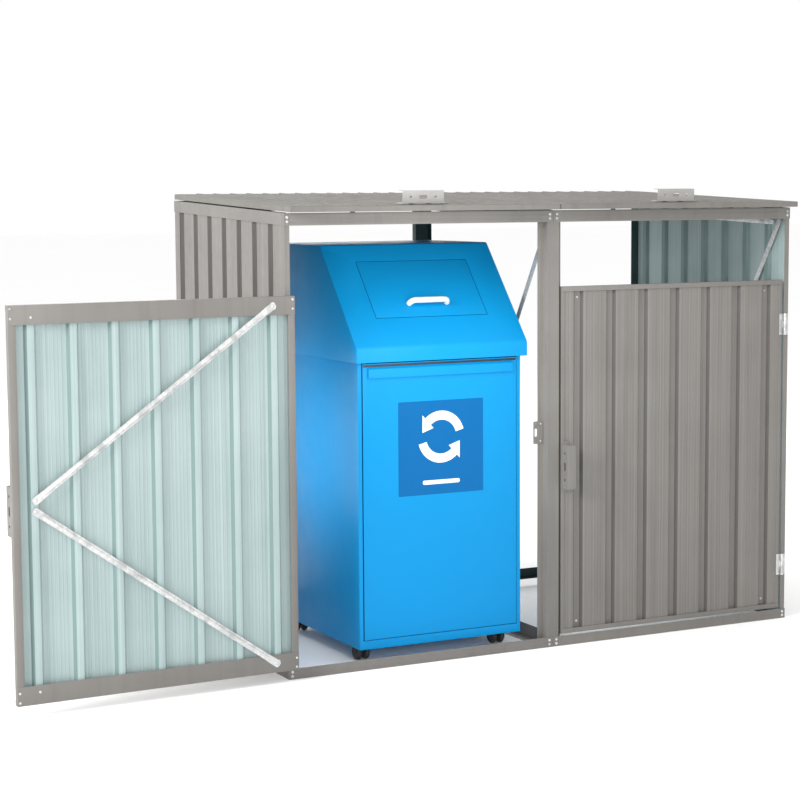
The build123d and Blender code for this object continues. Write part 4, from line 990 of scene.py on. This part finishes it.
# ================================================================ bin
def hood_crease(edge):
    """Whether an edge is one of the hood's two bends between band, slope and top."""
    low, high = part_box("bin_hood")
    a, b = edge.verts[0].co, edge.verts[1].co
    level = abs(a.y - b.y) <= LEVEL_TOLERANCE and abs(a.z - b.z) <= LEVEL_TOLERANCE
    if not level or abs(a.x - b.x) < SHORTEST_CREASE:
        return False
    bends = ((low.y, low.z + HOOD_BAND), (low.y + HOOD_SLOPE_RUN, high.z))
    return any(
        abs(a.y - y) < HOOD_CREASE_REACH and abs(a.z - z) < HOOD_CREASE_REACH for y, z in bends
    )


def hood_axes():
    """Foot of the hood's sloping face, its direction up the slope and its outward normal."""
    low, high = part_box("bin_hood")
    rise = high.z - low.z - HOOD_BAND
    foot = Vector(((low.x + high.x) / 2, low.y, low.z + HOOD_BAND))
    slope = Vector((0, HOOD_SLOPE_RUN, rise)).normalized()
    out = Vector((0, -rise, HOOD_SLOPE_RUN)).normalized()
    return foot, slope, out


def flap_cut(face):
    """Whether a face of the hood lies on the edge of its flap opening."""
    low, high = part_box("bin_flap")
    at = face.calc_center_median()
    near = all(
        least - FLAP_CUT_REACH < value < most + FLAP_CUT_REACH
        for least, value, most in zip(low, at, high)
    )
    _, _, out = hood_axes()
    return near and face.normal.dot(out) < FACING_COSINE


def flap_rim(face):
    """Whether a face of the flap is on its folded rim."""
    _, _, out = hood_axes()
    return abs(face.normal.dot(out)) < FACING_COSINE


def door_rim(face):
    """Whether a face of the bin's door is on its outer rim, apart from its top."""
    low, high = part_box("bin_door")
    at = face.calc_center_median()
    return at.x < low.x + PANEL_EDGE or at.x > high.x - PANEL_EDGE or at.z < low.z + PANEL_EDGE


def bin_door_front():
    """Where the flat front of the bin's door is, as y; its foot has nothing that stands out."""
    foot_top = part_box("bin_door")[0].z + DOOR_FOOT_HEIGHT
    return min(vertex.co.y for vertex in NODES["bin_door"].data.vertices if vertex.co.z < foot_top)


def door_shadow_strip():
    """Black strip along the top of the bin's door: painted shadow under the hood's overhang."""
    low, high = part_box("bin_door")
    width = high.x - low.x - 2 * SHADOW_STRIP_END_GAP
    middle_x = (low.x + high.x) / 2
    outline = rounded_rectangle(middle_x, low.z + SHADOW_STRIP_LEVEL, width, SHADOW_STRIP_HEIGHT, SHADOW_STRIP_HEIGHT / 3)
    black = SURFACES["caster_black"]
    front = bin_door_front()
    plate("bin_door_shadow_strip", outline, front, SHADOW_STRIP_THICKNESS, black, "bin_front_door", "caster_black")


def bar_handle():
    """White bow handle: a round bar that bends down into the flap at both ends."""
    low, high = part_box("bin_flap_handle")
    foot, slope, out = hood_axes()
    middle = (low + high) / 2
    up_slope = (middle - foot).dot(slope)
    start = Vector((0, foot.y, foot.z))
    corners = [Vector((0, y, z)) for y in (low.y, high.y) for z in (low.z, high.z)]
    stand = max((corner - start).dot(out) for corner in corners) - BAR_SETBACK
    half = (high.x - low.x) / 2 - BAR_RADIUS
    line = [(-half, BAR_FOOT)]
    for step in range(BAR_BEND_STEPS + 1):
        angle = math.pi / 2 * step / BAR_BEND_STEPS
        line.append((-half + BAR_BEND * (1 - math.cos(angle)), stand - BAR_BEND * (1 - math.sin(angle))))
    line += [(-x, rise) for x, rise in reversed(line)]
    path = [
        Vector((middle.x + x, 0, 0)) + start + slope * up_slope + out * rise for x, rise in line
    ]
    made = make_object("flap_bow_handle", *tube(path, BAR_RADIUS), [SURFACES["white_plastic"]])
    facing_out(made)
    belongs(made, body_of("bin_flap_handle"), SLOT_OF["bin_flap_handle"], "bin_flap_handle")


def plate(name, outline, front, thickness, material, body, slot):
    """A thin upright plate with its face towards the front; outline is (x, z) pairs."""
    count = len(outline)
    vertices = [Vector((x, front, z)) for x, z in outline]
    vertices += [Vector((x, front - thickness, z)) for x, z in outline]
    faces = [tuple(range(count)), tuple(reversed(range(count, 2 * count)))]
    faces += [(i, count + i, count + (i + 1) % count, (i + 1) % count) for i in range(count)]
    made = make_object(name, vertices, faces, [material])
    facing_out(made)
    return belongs(made, body, slot)


def rounded_rectangle(x, z, width, height, radius):
    """Outline of an upright rectangle round a middle, as (x, z) pairs."""
    outline = []
    for corner, (sx, sz) in enumerate(((1, 1), (-1, 1), (-1, -1), (1, -1))):
        for step in range(5):
            angle = math.pi / 2 * (corner + step / 4)
            outline.append((
                x + sx * (width / 2 - radius) + radius * math.cos(angle),
                z + sz * (height / 2 - radius) + radius * math.sin(angle),
            ))
    return outline


def arrow_outline(x, z, start, sweep):
    """A bent arrow along part of a circle, with its head at the end; angles in degrees."""
    inner, outer = MARK_RADIUS - MARK_STROKE / 2, MARK_RADIUS + MARK_STROKE / 2
    angles = [math.radians(start + sweep * step / ARROW_STEPS) for step in range(ARROW_STEPS + 1)]
    outline = [(x + outer * math.cos(a), z + outer * math.sin(a)) for a in angles]
    last = angles[-1]
    tip = math.radians(start + sweep + ARROW_HEAD_TURN)
    head = ((outer + ARROW_HEAD_FLARE, last), (MARK_RADIUS, tip), (inner - ARROW_HEAD_FLARE, last))
    outline += [(x + radius * math.cos(a), z + radius * math.sin(a)) for radius, a in head]
    outline += [(x + inner * math.cos(a), z + inner * math.sin(a)) for a in reversed(angles)]
    return outline


def door_label():
    """A plain label with a loop of two arrows and a bar under it."""
    low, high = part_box("bin_door")
    face = bin_door_front()
    x = (low.x + high.x) / 2
    z = low.z + LABEL_MIDDLE_UP
    square = rounded_rectangle(x, z, LABEL_WIDTH, LABEL_HEIGHT, LABEL_CORNER)
    plate("bin_label", square, face, LABEL_THICKNESS, LABEL_SURFACE, "bin_front_door", "bin_blue")
    front = face - LABEL_THICKNESS
    for name, start in LOOP_STARTS:
        outline = arrow_outline(x, z + LOOP_UP, start, ARROW_SWEEP)
        plate(name, outline, front, MARK_THICKNESS, MARK_SURFACE, "bin_front_door", "white_plastic")
    bar = rounded_rectangle(
        x, z - LABEL_BAR_DOWN, LABEL_BAR_WIDTH, LABEL_BAR_HEIGHT, LABEL_BAR_CORNER
    )
    plate("label_bar", bar, front, MARK_THICKNESS, MARK_SURFACE, "bin_front_door", "white_plastic")


def wheel_profile(radius, width):
    """Half section of one ball-like wheel, from its inner face to its hub cap."""
    shares = (
        (0.18, 0.00), (0.62, 0.00), (0.80, 0.04), (0.90, 0.10), (0.97, 0.22), (1.00, 0.38), (0.995, 0.50),
        (0.975, 0.52), (0.975, 0.56), (0.985, 0.58), (0.94, 0.74), (0.84, 0.88), (0.68, 0.97), (0.50, 1.00),
        (0.48, 0.97), (0.40, 0.96), (0.38, 1.00), (0.20, HUB_REACH), (0.0, HUB_REACH),
    )
    return [(radius * across, width * along) for across, along in shares]


def caster_wheelsets():
    """Two turned wheels on a short axle in place of each caster's plain wheels."""
    for end in ("front", "rear"):
        for side in ("left", "right"):
            node = f"{end}_{side}_caster_wheels"
            low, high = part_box(node)
            middle = (low + high) / 2
            radius = (high.z - low.z) / 2
            shapes = []
            for way in (-1, 1):
                inner = middle + Vector((way * WHEEL_GAP, 0, 0))
                width = ((high.x - low.x) / 2 - WHEEL_GAP) / HUB_REACH
                shapes.append(turned(wheel_profile(radius, width), inner, (way, 0, 0), 40))
            axle = [(AXLE_RADIUS, -WHEEL_GAP), (AXLE_RADIUS, WHEEL_GAP)]
            shapes.append(turned(axle, middle, (1, 0, 0), 16))
            made = make_object(f"{end}_{side}_twin_wheels", *gathered(shapes), [SURFACES["wheel_rubber"]])
            facing_out(made)
            belongs(made, body_of(node), SLOT_OF[node], node)


# ================================================================ everything that keeps its CAD shape
def shed_outside(face):
    """Whether a face of the rear frame looks away from the shed."""
    sideways = abs(face.normal.x) > 0.5 and face.normal.x * face.calc_center_median().x > 0
    return face.normal.y > 0.5 or sideways


def formed_pieces():
    """Every piece that keeps its CAD shape, with its edges rounded."""
    for node in (
        "front_base_rails", "front_top_rails", "side_base_rails", "side_top_rails", "middle_base_rail",
        "front_left_post", "front_right_post", "front_middle_post", "keeper_plates",
        "left_door_frame", "right_door_frame", "left_lid_frame", "right_lid_frame",
    ):
        rounded_copy(node, SHEET_EDGE)
    for node in ("rear_corner_posts", "rear_bottom_rails", "rear_top_rails"):
        rounded_copy(node, SHEET_EDGE, accent=shed_outside, accent_surface=SURFACES["taupe_steel"])
    for node in ("middle_top_rail", "rear_middle_post"):
        rounded_copy(node, SHEET_EDGE)
    for node in (
        "diagonal_braces", "door_hinge_post_leaves", "hinge_pins", "lid_hinge_rail_leaves",
        "lid_prop_brackets", "left_door_hinge_leaves", "right_door_hinge_leaves",
        "left_lid_hinge_leaves", "right_lid_hinge_leaves", "left_lid_prop", "right_lid_prop",
        "caster_plates",
    ):
        rounded_copy(node, STRIP_EDGE)
    for node in ("left_door_handle", "right_door_handle", "left_lid_handle", "right_lid_handle"):
        rounded_copy(node, BENT_EDGE, 3)
    rounded_copy("lid_buffers", BUFFER_EDGE, 3)
    rounded_copy("bin_body", BIN_EDGE, 3)
    # The rims of the flap, its opening and the bin's door get the dark blue of painted shadow in their gaps.
    rounded_copy("bin_hood", BIN_EDGE, 3, hood_crease, HOOD_BEND, flap_cut, SHADOW_GAP_SURFACE)
    rounded_copy("bin_door", PANEL_EDGE, 3, accent=door_rim, accent_surface=SHADOW_GAP_SURFACE)
    rounded_copy("bin_flap", PANEL_EDGE, 3, accent=flap_rim, accent_surface=SHADOW_GAP_SURFACE)
    rounded_copy("bin_liner", LINER_EDGE, 3)
    for end in ("front", "rear"):
        for side in ("left", "right"):
            rounded_copy(f"{end}_{side}_caster_swivel", BENT_EDGE)


# ================================================================ studio
def make_camera():
    """The camera that the photo was solved to, from its heading, its downward pitch and its roll."""
    yaw, pitch, roll = (math.radians(angle) for angle in (VIEW_YAW, VIEW_PITCH, VIEW_ROLL))
    ahead = Vector((math.sin(yaw) * math.cos(pitch), math.cos(yaw) * math.cos(pitch), -math.sin(pitch)))
    level = Vector((math.cos(yaw), -math.sin(yaw), 0))
    upright = level.cross(ahead)
    right = math.cos(roll) * level + math.sin(roll) * upright
    up = math.cos(roll) * upright - math.sin(roll) * level
    place = Matrix((right, up, -ahead)).transposed().to_4x4()
    place.translation = VIEW_FROM
    data = bpy.data.cameras.new("view")
    data.lens = LENS
    data.sensor_width = SENSOR
    data.clip_end = CLIP_END
    camera = bpy.data.objects.new("view", data)
    camera.matrix_world = place
    bpy.context.scene.collection.objects.link(camera)
    bpy.context.scene.camera = camera


def make_light(name, at, target, size, power):
    """A round area light that faces a target."""
    data = bpy.data.lights.new(name, "AREA")
    data.shape = "DISK"
    data.size = size
    data.energy = power
    light = bpy.data.objects.new(name, data)
    light.location = at
    light.rotation_euler = (Vector(target) - Vector(at)).to_track_quat("-Z", "Y").to_euler()
    bpy.context.scene.collection.objects.link(light)
    return light


def make_studio():
    """White surroundings, the lights and a white floor under the part."""
    world = bpy.data.worlds.new("studio")
    world.use_nodes = True
    background = world.node_tree.nodes["Background"]
    background.inputs["Color"].default_value = (1.0, 1.0, 1.0, 1.0)
    background.inputs["Strength"].default_value = 1.0
    bpy.context.scene.world = world
    bpy.context.scene.view_settings.view_transform = "Standard"
    for light in LIGHTS:
        make_light(*light)
    for light in FILL_LIGHTS:
        make_light(*light).visible_camera = False
    corners = [
        Vector((x * FLOOR_HALF, y * FLOOR_HALF, 0)) for x, y in ((-1, -1), (1, -1), (1, 1), (-1, 1))
    ]
    floor = make_object("studio_floor", corners, [(0, 1, 2, 3)], [floor_paint()])
    floor.location.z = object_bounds()[0].z


make_camera()
make_studio()
walls()
door_sheets()
door_braces_and_screws()
lids()
front_bolts()
door_rivets()
door_corner_screws()
formed_pieces()
door_shadow_strip()
bar_handle()
door_label()
caster_wheelsets()
